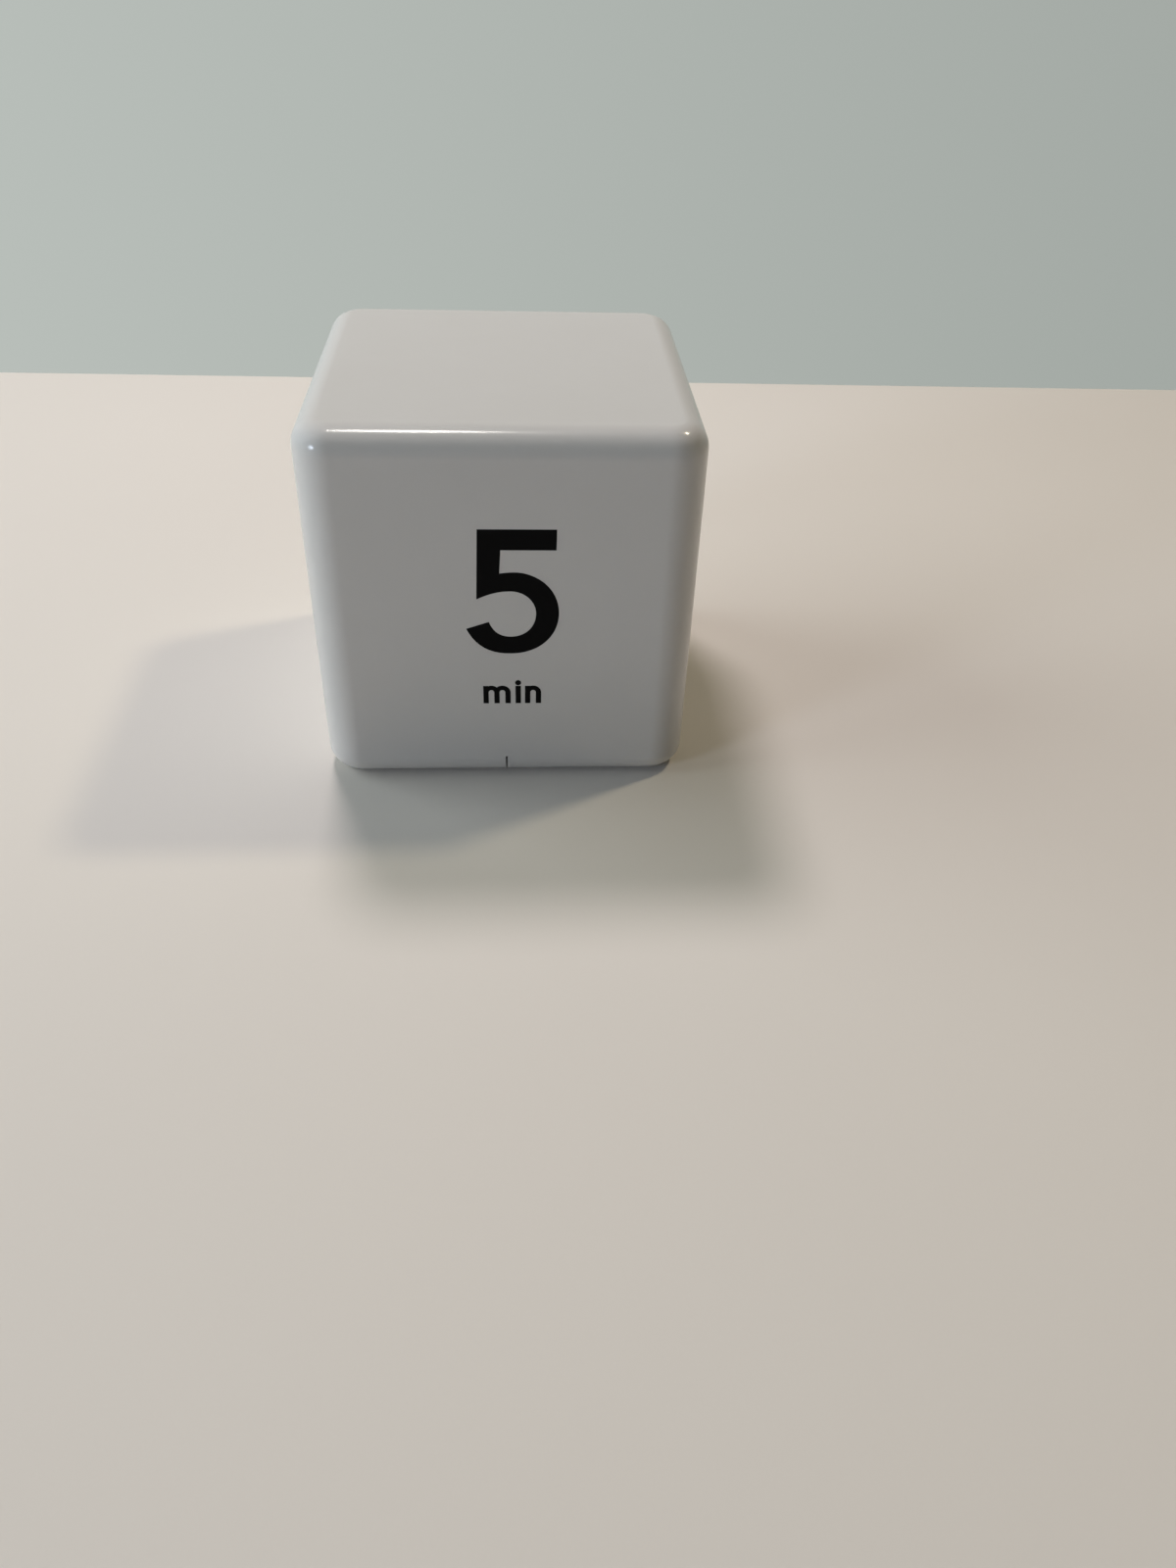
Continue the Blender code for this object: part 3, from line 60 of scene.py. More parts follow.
def clearSelection():
    if bpy.context.object and bpy.context.object.mode != "OBJECT":
        bpy.ops.object.mode_set(mode="OBJECT")
    bpy.ops.object.select_all(action="DESELECT")


def takeUp(piece):
    clearSelection()
    bpy.context.view_layer.objects.active = piece
    piece.select_set(True)


def placeInMesh(piece):
    takeUp(piece)
    bpy.ops.object.transform_apply(location=True, rotation=True, scale=True)


def addBlock(name, low, high):
    clearSelection()
    bpy.ops.mesh.primitive_cube_add(size=1, location=[(a + b) / 2 for a, b in zip(low, high)])
    block = bpy.context.object
    block.name = name
    block.scale = [b - a for a, b in zip(low, high)]
    placeInMesh(block)
    return block


def addRod(name, radius, low, high, spot=(0, 0), sides=32):
    clearSelection()
    bpy.ops.mesh.primitive_cylinder_add(
        vertices=sides, radius=radius, depth=high - low, location=(*spot, (low + high) / 2))
    rod = bpy.context.object
    rod.name = name
    placeInMesh(rod)
    return rod


def editPiece(piece, kind, chosen, *steps):
    # picks faces, edges or corners by their place or normal, and runs the steps on them
    takeUp(piece)
    bpy.ops.object.mode_set(mode="EDIT")
    bpy.ops.mesh.select_mode(type=kind)
    bpy.ops.mesh.select_all(action="DESELECT")
    shape = bmesh.from_edit_mesh(piece.data)
    shape.normal_update()
    for part in {"FACE": shape.faces, "EDGE": shape.edges, "VERT": shape.verts}[kind]:
        if chosen(part):
            part.select_set(True)
    bmesh.update_edit_mesh(piece.data)
    for step in steps:
        step()
    bpy.ops.object.mode_set(mode="OBJECT")


def roundEdges(piece, radius, steps, chosen):
    editPiece(piece, "EDGE", chosen, lambda: bpy.ops.mesh.bevel(
        offset=radius, segments=steps, affect="EDGES", clamp_overlap=False))


def weld(piece, distance=0.0005 * mm):
    editPiece(piece, "VERT", lambda vert: True,
              lambda: bpy.ops.mesh.remove_doubles(threshold=distance))


def upright(edge):
    run = edge.verts[0].co - edge.verts[1].co
    return abs(run.z) > 0.9 * run.length


def atLevel(*levels):
    return lambda edge: any(all(abs(v.co.z - level) < near for v in edge.verts) for level in levels)


def finishWith(piece, kind, **settings):
    modifier = piece.modifiers.new(kind, kind)
    for name, value in settings.items():
        setattr(modifier, name, value)
    takeUp(piece)
    bpy.ops.object.modifier_apply(modifier=modifier.name)


def roundSharp(piece, width, steps, degrees=50, clamp=False):
    # rounds the edges where faces meet at more than so many degrees
    finishWith(piece, "BEVEL", width=width, segments=steps, limit_method="ANGLE",
               angle_limit=math.radians(degrees), use_clamp_overlap=clamp)


def carve(piece, tool, operation="DIFFERENCE"):
    finishWith(piece, "BOOLEAN", object=tool, operation=operation, solver="EXACT")
    bpy.data.objects.remove(tool)


def gather(name, pieces):
    # several pieces in one object
    clearSelection()
    for piece in pieces:
        piece.select_set(True)
    bpy.context.view_layer.objects.active = pieces[0]
    if len(pieces) > 1:
        bpy.ops.object.join()
    pieces[0].name = name
    return pieces[0]


def copyPiece(piece, place):
    twin = piece.copy()
    twin.data = piece.data.copy()
    bpy.context.scene.collection.objects.link(twin)
    twin.matrix_world = place @ piece.matrix_world
    placeInMesh(twin)
    return twin


def turned(degrees, axis="Z"):
    return Matrix.Rotation(math.radians(degrees), 4, axis)


def moved(x, y, z=0):
    return Matrix.Translation((x, y, z))


def spread(pattern, places):
    # a copy of the pattern in each place, and the pattern itself goes
    copies = [copyPiece(pattern, place) for place in places]
    bpy.data.objects.remove(pattern)
    return copies


def onWalls(along):
    # both sides of the middle of each wall
    return [turned(turn) @ moved(0, way * along) for turn in (0, 90, 180, 270) for way in (-1, 1)]


def smoothShade(piece, degrees=35):
    takeUp(piece)
    bpy.ops.object.shade_smooth_by_angle(angle=math.radians(degrees))
    finishWith(piece, "WEIGHTED_NORMAL", keep_sharp=True, weight=80)


def dress(piece, finish):
    piece.data.materials.clear()
    piece.data.materials.append(finish)


def roundedBlock(name, low, high, corner, cornerSteps, edge=0, edgeSteps=0):
    # upright edges first, then the rims of the top and base
    block = addBlock(name, low, high)
    roundEdges(block, corner, cornerSteps, upright)
    if edge:
        roundEdges(block, edge, edgeSteps, atLevel(low[2], high[2]))
    return block


def mathsMethod(operation, swapped=False):
    return lambda self, other: self.maths(operation, other, swapped)


class Wire:
    # one output of a node; sums and products of wires add Math nodes
    def __init__(self, tree, socket=None):
        self.tree = tree
        self.socket = socket

    def node(self, kind, settings=None, sockets=None, output=0):
        made = self.tree.nodes.new(kind)
        for name, value in (settings or {}).items():
            setattr(made, name, value)
        for name, value in (sockets or {}).items():
            if isinstance(value, Wire):
                self.tree.links.new(value.socket, made.inputs[name])
            else:
                made.inputs[name].default_value = value
        return Wire(self.tree, made.outputs[output])

    def maths(self, operation, other=0.0, swapped=False, clamp=False):
        first, second = (other, self) if swapped else (self, other)
        return self.node("ShaderNodeMath", {"operation": operation, "use_clamp": clamp},
                         {0: first, 1: second})

    def mix(self, first, second):
        # from the first colour to the second
        colours = [c if isinstance(c, Wire) else (*c, 1) for c in (first, second)]
        return self.node("ShaderNodeMix", {"data_type": "RGBA"},
                         {0: self, 6: colours[0], 7: colours[1]}, output=2)

    def ramp(self, low, high):
        # smoothly from 0 at low to 1 at high
        return self.node(
            "ShaderNodeMapRange", {"interpolation_type": "SMOOTHSTEP"},
            {"Value": self, "From Min": low, "From Max": high}, output="Result")

    def between(self, low, high, soft):
        # 1 between two values, with soft edges
        return self.ramp(low - soft, low + soft) * (1 - self.ramp(high - soft, high + soft))

    def bump(self, depth, under=None):
        sockets = {"Height": self, "Distance": depth, "Strength": 1}
        if under:
            sockets["Normal"] = under
        return self.node("ShaderNodeBump", {}, sockets)

    def axes(self):
        outputs = self.node("ShaderNodeSeparateXYZ", {}, {0: self}).socket.node.outputs
        return [Wire(self.tree, output) for output in outputs]

    def __abs__(self):
        return self.maths("ABSOLUTE")

    __add__ = __radd__ = mathsMethod("ADD")
    __sub__, __rsub__ = mathsMethod("SUBTRACT"), mathsMethod("SUBTRACT", swapped=True)
    __mul__ = __rmul__ = mathsMethod("MULTIPLY")
    __truediv__, __gt__ = mathsMethod("DIVIDE"), mathsMethod("GREATER_THAN")
    larger, smaller = mathsMethod("MAXIMUM"), mathsMethod("MINIMUM")


class Finish:
    # a Principled material: fixed values go straight on its sockets, the rest is wired
    def __init__(self, name, **fixed):
        self.material = bpy.data.materials.new(name)
        self.material.use_nodes = True
        self.shader = self.material.node_tree.nodes["Principled BSDF"]
        self.start = Wire(self.material.node_tree)
        for socket, value in fixed.items():
            self.shader.inputs[socketNames[socket]].default_value = value
        self.place = self.start.node("ShaderNodeTexCoord", output="Object")

    def wire(self, **sockets):
        for socket, value in sockets.items():
            self.start.tree.links.new(value.socket, self.shader.inputs[socketNames[socket]])
        return self.material

    def noise(self, size, detail=2.0, rough=0.5, place=None):
        # about 0 to 1 round 0.5, with blotches of this size
        return self.start.node("ShaderNodeTexNoise", {}, {
            "Vector": place or self.place, "Scale": 1 / size, "Detail": detail, "Roughness": rough,
        }, output="Fac")


socketNames = {
    "colour": "Base Color", "rough": "Roughness", "metal": "Metallic", "normal": "Normal",
    "alpha": "Alpha", "coat": "Coat Weight", "coatRough": "Coat Roughness", "ior": "IOR",
    "specular": "Specular IOR Level",
}


def srgb(red, green, blue):
    # screen values 0 to 255 as the linear values that shaders use
    return tuple(
        c / 255 / 12.92 if c <= 10 else ((c / 255 + 0.055) / 1.055) ** 2.4
        for c in (red, green, blue))


# Noises are given as size, detail and roughness.
casePlastic = {
    "colour": srgb(206, 204, 201),
    "rough": 0.42, "gloss": 0.12,
    "shine": 0.7, "shineRough": 0.15,  # the skin that draws fine lines of light
    "grain": (0.16 * mm, 2), "grainDepth": 0.003 * mm, "grainRough": 0.06,  # spark-eroded skin
    "waves": (9 * mm, 1), "waveDepth": 0.003 * mm,  # slow waviness of a moulded wall
    "handled": srgb(198, 195, 190), "smudge": (19 * mm, 5, 0.62), "smudgeShare": 0.55,
    "smudgeRough": 0.09,
    "wornReach": (0.80, 0.99),  # shares of the way out to an edge
    "wornLift": 1.06, "wornShare": 0.35, "wornRough": 0.03,
    "speckColour": srgb(140, 132, 120), "speck": (0.9 * mm, 3, 0.7), "speckShare": 0.06,
    # painted shade: the inside of the narrow slit is coloured dark, standing in for the shade deep
    # in it
    "slitHalf": 0.153 * mm, "slitTop": 4.603 * mm, "slitBack": -29 * mm,
    "slitPaintedShade": srgb(34, 34, 37),
}
basePlastic = {
    **casePlastic, "rough": 0.48, "shine": 0.2, "shineRough": 0.3,
    "grain": (0.22 * mm, 2), "grainDepth": 0.006 * mm, "slitHalf": 0,
}
doorPlastic = {**basePlastic, "colour": srgb(204, 203, 198), "rough": 0.49}


def mouldedWhite(name, v):
    finish = Finish(name, ior=1.5, specular=v["gloss"], coat=v["shine"], coatRough=v["shineRough"])
    x, y, z = finish.place.axes()
    across, along, up = (abs(axis) / halfCube for axis in (x, y, z - halfCube))
    worn = across.smaller(along).larger(up.smaller(across.larger(along))).ramp(*v["wornReach"])
    smudge, grain, waves = (finish.noise(*v[key]) for key in ("smudge", "grain", "waves"))
    speck = finish.noise(*v["speck"]).ramp(0.71, 0.76)
    paler = tuple(min(1, c * v["wornLift"]) for c in v["colour"])
    colour = (smudge * v["smudgeShare"]).mix(v["colour"], v["handled"])
    colour = (worn * v["wornShare"]).mix(colour, paler)
    colour = (speck * v["speckShare"]).mix(colour, v["speckColour"])
    # painted shade: the slit's inside, where the colour goes dark in place of its shade
    inSlit = (1 - (abs(x) > v["slitHalf"])) * (1 - (z > v["slitTop"])) * (1 - (y > v["slitBack"]))
    rough = v["rough"] + (smudge - 0.5) * v["smudgeRough"] + (grain - 0.5) * v["grainRough"]
    soft = waves.bump(v["waveDepth"])
    return finish.wire(
        colour=inSlit.mix(colour, v["slitPaintedShade"]), rough=rough - worn * v["wornRough"],
        normal=grain.bump(v["grainDepth"], under=soft))


caseFinish = mouldedWhite("casePlastic", casePlastic)
panelFinish = mouldedWhite("panelPlastic", basePlastic)
doorFinish = mouldedWhite("doorPlastic", doorPlastic)


# Pad-printed ink: a film with pin holes and a slightly uneven gloss.
ink = {
    "gloss": 0.06, "rough": 0.46,
    "film": (0.35 * mm, 3, 0.6), "filmDepth": 0.003 * mm, "filmRough": 0.16,
    "wipe": (6 * mm, 3, 0.6), "wipeShare": 0.12, "wipeRough": 0.14,
    "hole": (0.5 * mm, 4, 0.75), "holeShare": 0.5,
}


def padInk(name, colour, thinned):
    finish = Finish(name, specular=ink["gloss"])
    film, wipe = finish.noise(*ink["film"]), finish.noise(*ink["wipe"])
    holes = finish.noise(*ink["hole"]).ramp(0.72, 0.78)
    thin = (holes * ink["holeShare"]).larger(wipe * ink["wipeShare"])
    return finish.wire(
        colour=thin.mix(colour, thinned),
        rough=ink["rough"] + (film - 0.5) * ink["filmRough"] + (wipe - 0.5) * ink["wipeRough"],
        normal=film.bump(ink["filmDepth"]))


blackInk = padInk("blackInk", srgb(5, 5, 6), srgb(22, 22, 24))
greyInk = padInk("greyInk", srgb(62, 64, 68), srgb(92, 94, 96))


# For each slot: the finish's name, two screen colours, the roughness, and in mm the blotches, the
# grain and its depth. Metals have a 1 after that, and how far their grain is drawn out.
grainedLooks = {
    "black_plastic": ("blackPlastic", (26, 26, 28), (37, 37, 38), 0.42, (3, 0.12, 0.004)),
    "nickel": ("nickelPlate", (214, 211, 203), (176, 171, 160), 0.28, (2, 0.15, 0.002), 1, 6),
    "gold_plate": ("goldPlate", (226, 193, 122), (196, 158, 88), 0.26, (2, 0.12, 0.002), 1),
    "phenolic": ("brownLaminate", (126, 92, 58), (98, 68, 42), 0.6, (0.8, 0.1, 0.006)),
    "chip_resin": ("blackResin", (16, 16, 17), (24, 23, 23), 0.22, (1.5, 0.6, 0.03)),
    "red_insulation": ("redInsulation", (176, 32, 28), (150, 24, 22), 0.42, (2, 0.2, 0.004)),
    "black_insulation": ("blackInsulation", (20, 20, 21), (31, 31, 32), 0.42, (2, 0.2, 0.004)),
    "lcd_glass": ("unlitSegment", (132, 140, 124), (127, 136, 121), 0.3, (3, 0.3, 0.001)),
}
lensLook = ("clearLens", (214, 220, 219), (203, 210, 209), 0.06, (4, 0.5, 0.001))


def grained(name, first, second, rough, sizes, metal=0, streak=1, swing=0.12, **fixed):
    # a colour that drifts to a second one in blotches, with a fine grain in gloss and relief
    finish = Finish(name, metal=metal, **fixed)
    blotch, grain, depth = (size * mm for size in sizes)
    drift = finish.noise(blotch, 4, 0.6)
    stretched = finish.start.node(
        "ShaderNodeMapping", {}, {"Vector": finish.place, "Scale": (1, streak, 1)})
    fine = finish.noise(grain, 3, 0.6, stretched)
    return finish.wire(
        colour=(drift.ramp(0.35, 0.7) * 0.8 + fine * 0.1).mix(srgb(*first), srgb(*second)),
        rough=rough + (drift - 0.5) * swing + (fine - 0.5) * swing,
        normal=fine.bump(depth))


finishes = {slot: grained(*look) for slot, look in grainedLooks.items()}
lensFinish = grained(*lensLook, swing=0.03, alpha=0.2, ior=1.49)


# A reflective film behind the glass, with a seal line round the picture area.
glassLook = {
    "film": srgb(154, 162, 145), "cloudy": srgb(143, 152, 136), "cloud": (9 * mm, 3, 0.5),
    "rough": 0.2, "grain": (0.08 * mm, 2), "grainDepth": 0.0008 * mm,
    "seal": srgb(104, 110, 98), "sealPlace": 2.6 * mm, "sealWidth": 0.45 * mm,
}


def displayGlass():
    v = glassLook
    low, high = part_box("lcd_cell")
    finish = Finish("displayGlass", ior=1.5)
    x, y = finish.place.axes()[:2]
    halfX, halfY = high.x - v["sealPlace"], (high.y - low.y) / 2 - v["sealPlace"]
    edge = (abs(x) - halfX).larger(abs(y - (low.y + high.y) / 2) - halfY)
    seal = edge.between(0, v["sealWidth"], 0.05 * mm)
    cloud, grain = finish.noise(*v["cloud"]), finish.noise(*v["grain"])
    colour = (cloud * 0.5 + grain * 0.15).mix(v["film"], v["cloudy"])
    return finish.wire(
        colour=(seal * 0.55).mix(colour, v["seal"]),
        rough=v["rough"] + (grain - 0.5) * 0.1, normal=grain.bump(v["grainDepth"]))


# Thin conducting layers between insulating ones.
rubberLook = {
    "pitch": 0.18 * mm, "relief": 0.004 * mm, "rough": 0.7, "conducting": srgb(40, 40, 42),
    "insulating": srgb(196, 176, 168), "dusty": srgb(178, 158, 150), "dust": (0.4 * mm, 3, 0.6),
}


def stripRubber():
    v = rubberLook
    finish = Finish("stripRubber", ior=1.45)
    x = finish.place.axes()[0]
    layer = (x * (2 * math.pi / v["pitch"])).maths("SINE").ramp(-0.2, 0.4)
    dust = finish.noise(*v["dust"])
    insulating = (dust * 0.5).mix(v["insulating"], v["dusty"])
    return finish.wire(
        colour=layer.mix(v["conducting"], insulating),
        rough=v["rough"] + (dust - 0.5) * 0.1, normal=layer.bump(v["relief"]))


# Green solder mask over copper runs, and the bare cut edge. Runs go both ways, in patches.
boardLook = {
    "mask": srgb(28, 92, 52), "darker": srgb(22, 80, 46), "copper": srgb(48, 124, 70),
    "bare": srgb(168, 162, 112), "rough": 0.38, "weave": (0.3 * mm, 2), "copperHeight": 0.02 * mm,
    "patch": (11 * mm, 1), "jog": (7 * mm, 0), "jogs": 9,
    "rows": (0.65 * mm, 0.42 * mm, 0.46 * mm, 11 * mm),  # half pitch, two edges, longest jog
    "columns": (0.8 * mm, 0.55 * mm, 0.6 * mm, 17 * mm),
}


def boardLaminate():
    v = boardLook
    low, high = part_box("circuit_board")
    finish = Finish("boardLaminate", ior=1.5)
    x, y, z = finish.place.axes()
    jog = (finish.noise(*v["jog"]) * v["jogs"]).maths("ROUND") / v["jogs"]

    def runs(place, halfPitch, low, high, longest):
        return (place + jog * longest).maths("PINGPONG", halfPitch).ramp(low, high)

    along = finish.noise(*v["patch"]).ramp(0.47, 0.49)
    copper = along * runs(y, *v["rows"]) + (1 - along) * runs(x, *v["columns"])
    weave = finish.noise(*v["weave"])
    mask = (copper * 0.8).mix((weave * 0.4).mix(v["mask"], v["darker"]), v["copper"])
    edge = z.between(low.z + 0.02 * mm, high.z - 0.02 * mm, 0.01 * mm)
    return finish.wire(
        colour=edge.mix(mask, v["bare"]),
        rough=v["rough"] + edge * 0.3 + (weave - 0.5) * 0.1,
        normal=copper.bump(v["copperHeight"]))


# A printed sleeve with a stripe down one side, and the can's bare top.
sleeveLook = {
    "sleeve": srgb(30, 38, 84), "worn": srgb(24, 31, 72), "stripe": srgb(196, 198, 204),
    "bare": srgb(198, 198, 196), "bareRadius": 2 * mm, "rough": 0.36, "wear": (1.2 * mm, 3, 0.6),
    "stripeReach": 0.87,  # how far round it goes, as a cosine
}


def sleeveFinish():
    v = sleeveLook
    low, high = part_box("capacitor")
    finish = Finish("capacitorSleeve", ior=1.5)
    x, y, z = finish.place.axes()
    side = x - (low.x + high.x) / 2
    across = y - (low.y + high.y) / 2
    reach = (side * side + across * across).maths("SQRT")
    soft, rim = 0.05 * mm, v["bareRadius"]
    top = z.ramp(high.z - 0.06 * mm, high.z - 0.02 * mm) * (
        1 - reach.ramp(rim - soft, rim + soft))
    stripe = (side / reach).ramp(v["stripeReach"] - 0.01, v["stripeReach"] + 0.01) * (1 - top)
    wear = finish.noise(*v["wear"])
    colour = (wear * 0.5).mix(v["sleeve"], v["worn"])
    colour = stripe.mix(colour, v["stripe"])
    return finish.wire(
        colour=top.mix(colour, v["bare"]), metal=top,
        rough=v["rough"] + (wear - 0.5) * 0.12 - top * 0.06,
        normal=wear.bump(0.004 * mm))


# Dark wrap, a plain bright band towards the nub, and a plus and a minus printed on it.
wrapLook = {
    "band": (12.5 * mm, 4.0 * mm), "line": (13.3 * mm, 12.9 * mm),  # from the nub
    "plus": 7.6 * mm,
    "minus": 4.0 * mm,  # from the foot
    "stroke": (1.3 * mm, 0.28 * mm),  # half its length, half its width
    "canReach": 4.2 * mm,  # radius of the bare can at each end
    "wrap": srgb(52, 56, 62), "rubbed": srgb(44, 47, 52), "bright": srgb(178, 184, 190),
    "dark": srgb(36, 38, 42), "can": srgb(206, 204, 198), "dullCan": srgb(186, 183, 175),
    "rough": 0.3, "rub": (5 * mm, 4, 0.6), "grain": (0.15 * mm, 2), "grainDepth": 0.0015 * mm,
}


def cellFinish(name, foot, way, length):
    v = wrapLook
    finish = Finish(name, ior=1.5)
    x, y, z = finish.place.axes()
    along = (x - foot.x) * way
    across = y - foot.y
    around = (across * across + (z - foot.z) * (z - foot.z)).maths("SQRT")
    wrapped = around.ramp(v["canReach"] - 0.05 * mm, v["canReach"] + 0.05 * mm)
    band, line = (
        along.between(length - v[key][0], length - v[key][1], 0.03 * mm)
        for key in ("band", "line"))

    def bar(middle, halfLong, halfWide):
        lengthwise = (halfLong - abs(along - middle)).ramp(0, 0.06 * mm)
        return lengthwise * (halfWide - abs(across)).ramp(0, 0.06 * mm)

    stroke, crossing = v["stroke"], v["stroke"][::-1]
    plus = bar(length - v["plus"], *stroke).larger(bar(length - v["plus"], *crossing))
    rub, fine = finish.noise(*v["rub"]), finish.noise(*v["grain"])
    colour = (rub * 0.6).mix(v["wrap"], v["rubbed"])
    colour = band.larger(line).mix(colour, v["bright"])
    colour = plus.mix(colour, v["dark"])
    colour = bar(v["minus"], *crossing).mix(colour, v["bright"])
    return finish.wire(
        colour=wrapped.mix(rub.mix(v["can"], v["dullCan"]), colour),
        metal=1 - wrapped * 0.75, rough=v["rough"] + (rub - 0.5) * 0.14 + (fine - 0.5) * 0.06,
        normal=fine.bump(v["grainDepth"]))


# The flat nodes that stay as they are in CAD.
keptNodes = {
    "battery_bay": panelFinish, "lcd_cell": displayGlass(), "lcd_frame": finishes["black_plastic"],
    "contact_strip": stripRubber(), "circuit_board": boardLaminate(),
}
print("cube timer: finishes made")


# Roundings are given as radius, steps and, where sharp edges are looked for, their least angle.
housing = {
    "half": 31.735 * mm,  # the ink stands 0.015 mm proud of this
    "height": 63.5 * mm,
    "corner": (6.2 * mm, 20), "edge": (4.15 * mm, 14),
    "inside": 29.55 * mm, "roof": 61.3 * mm,
    "insideCorner": (4.0 * mm, 12), "insideEdge": (2.0 * mm, 6), "rim": (0.12 * mm, 3, 45),
    "slitWidth": 0.3 * mm, "slitHeight": 4.6 * mm, "slitReach": 0.5 * mm,
    "ribReach": 1.5 * mm, "ribWidth": 1.2 * mm, "ribFoot": 2.5 * mm, "ribHeight": 12 * mm,
    "ribRound": (0.25 * mm, 3), "ribPlace": 22.46 * mm,
    "pocketDepth": 1.2 * mm, "pocketWidth": 7.6 * mm, "pocketPlace": 13.59 * mm,
    "pocketLow": 6.3 * mm, "pocketHigh": 8.7 * mm,
}


def roundedCube(name, base):
    h, half = housing, housing["half"]
    return roundedBlock(
        name, (-half, -half, base), (half, half, h["height"]), *h["corner"], *h["edge"])


def buildHousing():
    h = housing
    inside = h["inside"]
    shell = roundedCube("housingShell", 0)
    carve(shell, roundedBlock(
        "cavity", (-inside, -inside, -h["roof"]), (inside, inside, h["roof"]),
        *h["insideCorner"], *h["insideEdge"]))
    roundSharp(shell, *h["rim"])

    rib = addBlock("rib", (inside - h["ribReach"], -h["ribWidth"] / 2, h["ribFoot"]),
                   (inside + bite, h["ribWidth"] / 2, h["ribFoot"] + h["ribHeight"]))
    roundEdges(rib, *h["ribRound"], lambda edge: upright(edge) and edge.verts[0].co.x < inside)
    pocket = addBlock("pocket", (inside - past, -h["pocketWidth"] / 2, h["pocketLow"]),
                      (inside + h["pocketDepth"], h["pocketWidth"] / 2, h["pocketHigh"]))
    carve(shell, gather("ribs", spread(rib, onWalls(h["ribPlace"]))), "UNION")
    carve(shell, gather("pockets", spread(pocket, onWalls(h["pocketPlace"]))))
    slit = h["slitWidth"] / 2
    carve(shell, addBlock("slit", (-slit, -h["half"] - past, -past),
                          (slit, -inside + h["slitReach"], h["slitHeight"])))
    smoothShade(shell)
    dress(shell, caseFinish)
    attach(shell, "case")
    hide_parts("housing")


buildHousing()
print("cube timer: housing built")


# Outlines in mm on a face: across from its middle, up from the base.
numerals = {
    "proud": halfCube,
    "film": 0.03 * mm,
    "baseline": 26.2, "capTop": 48.32,
    "gap": 2.4,  # between digits
    "blockMiddle": 1.15,  # the print sits a little to the right
    "arcStep": 5,  # degrees
    "sides": {"front": ("5", 0), "right": ("15", 90), "back": ("30", 180), "left": ("60", 270)},
}


def arc(middle, radii, start, end, stepDegrees=None, swell=0.0):
    # from one angle to another; swell pushes the arc out between the axes
    steps = max(2, round(abs(end - start) / (stepDegrees or numerals["arcStep"])))
    points = []
    for i in range(steps + 1):
        angle = math.radians(start + (end - start) * i / steps)
        reach = 1 + swell * math.sin(2 * angle) ** 2
        points.append((middle[0] + radii[0] * reach * math.cos(angle),
                       middle[1] + radii[1] * reach * math.sin(angle)))
    return points


def bow(start, pull, end, steps=10):
    # a curve from start to end, drawn towards pull
    return [
        tuple((1 - t) ** 2 * a + 2 * t * (1 - t) * b + t * t * c
              for a, b, c in zip(start, pull, end))
        for t in (i / steps for i in range(steps + 1))
    ]


def five():
    return [[
        (-4.06, 48.32), (8.36, 48.32), (8.30, 44.78), (-0.48, 44.79),
        *bow((-0.72, 40.72), (0.9, 41.0), (2.3, 40.91)),
        *arc((1.0, 33.5), (7.86, 7.54), 75, -90, swell=0.014),
        *bow((1.0, 25.96), (-4.2, 25.8), (-6.26, 30.68))[1:],
        *bow((-2.55, 31.97), (-1.6, 29.19), (1.0, 29.19)),
        *arc((1.0, 33.5), (4.14, 4.31), -90, 0, swell=0.014)[1:],
        *arc((1.0, 33.5), (4.14, 4.05), 0, 90)[1:],
        *bow((0.6, 37.54), (-1.7, 37.5), (-4.46, 36.1)),
    ]]


def one():
    low, top = numerals["baseline"], numerals["capTop"]
    return [[(2.25, top), (5.5, top), (5.5, low), (1.85, low),
             (1.85, top - 4.7), (-0.7, top - 6.8), (-0.7, top - 2.7)]]


def zero():
    middle = (0, (numerals["baseline"] + numerals["capTop"]) / 2)
    return [arc(middle, (7.5, 11.3), 0, 355), arc(middle, (3.85, 7.75), 0, 355)]


def three():
    low = numerals["baseline"] - 0.25
    under, over = (0, low + 7.0), (0, low + 16.55)
    return [[
        *arc(over, (5.85, 5.85), 162, -43.1),
        *arc(under, (7.0, 7.0), 52.4, -160)[1:],
        *arc(under, (3.4, 3.4), -157, 90),
        (-1.4, under[1] + 3.4), (-1.4, over[1] - 2.3),
        *arc(over, (2.3, 2.3), -90, 158),
    ]]


def six():
    low, top = numerals["baseline"] - 0.25, numerals["capTop"]
    middle = (0, low + 7.65)
    return [
        [(-0.95, top), (3.1, top), *arc(middle, (7.65, 7.65), 94.7, -207.5)],
        arc(middle, (4.03, 4.03), 0, 355),
    ]


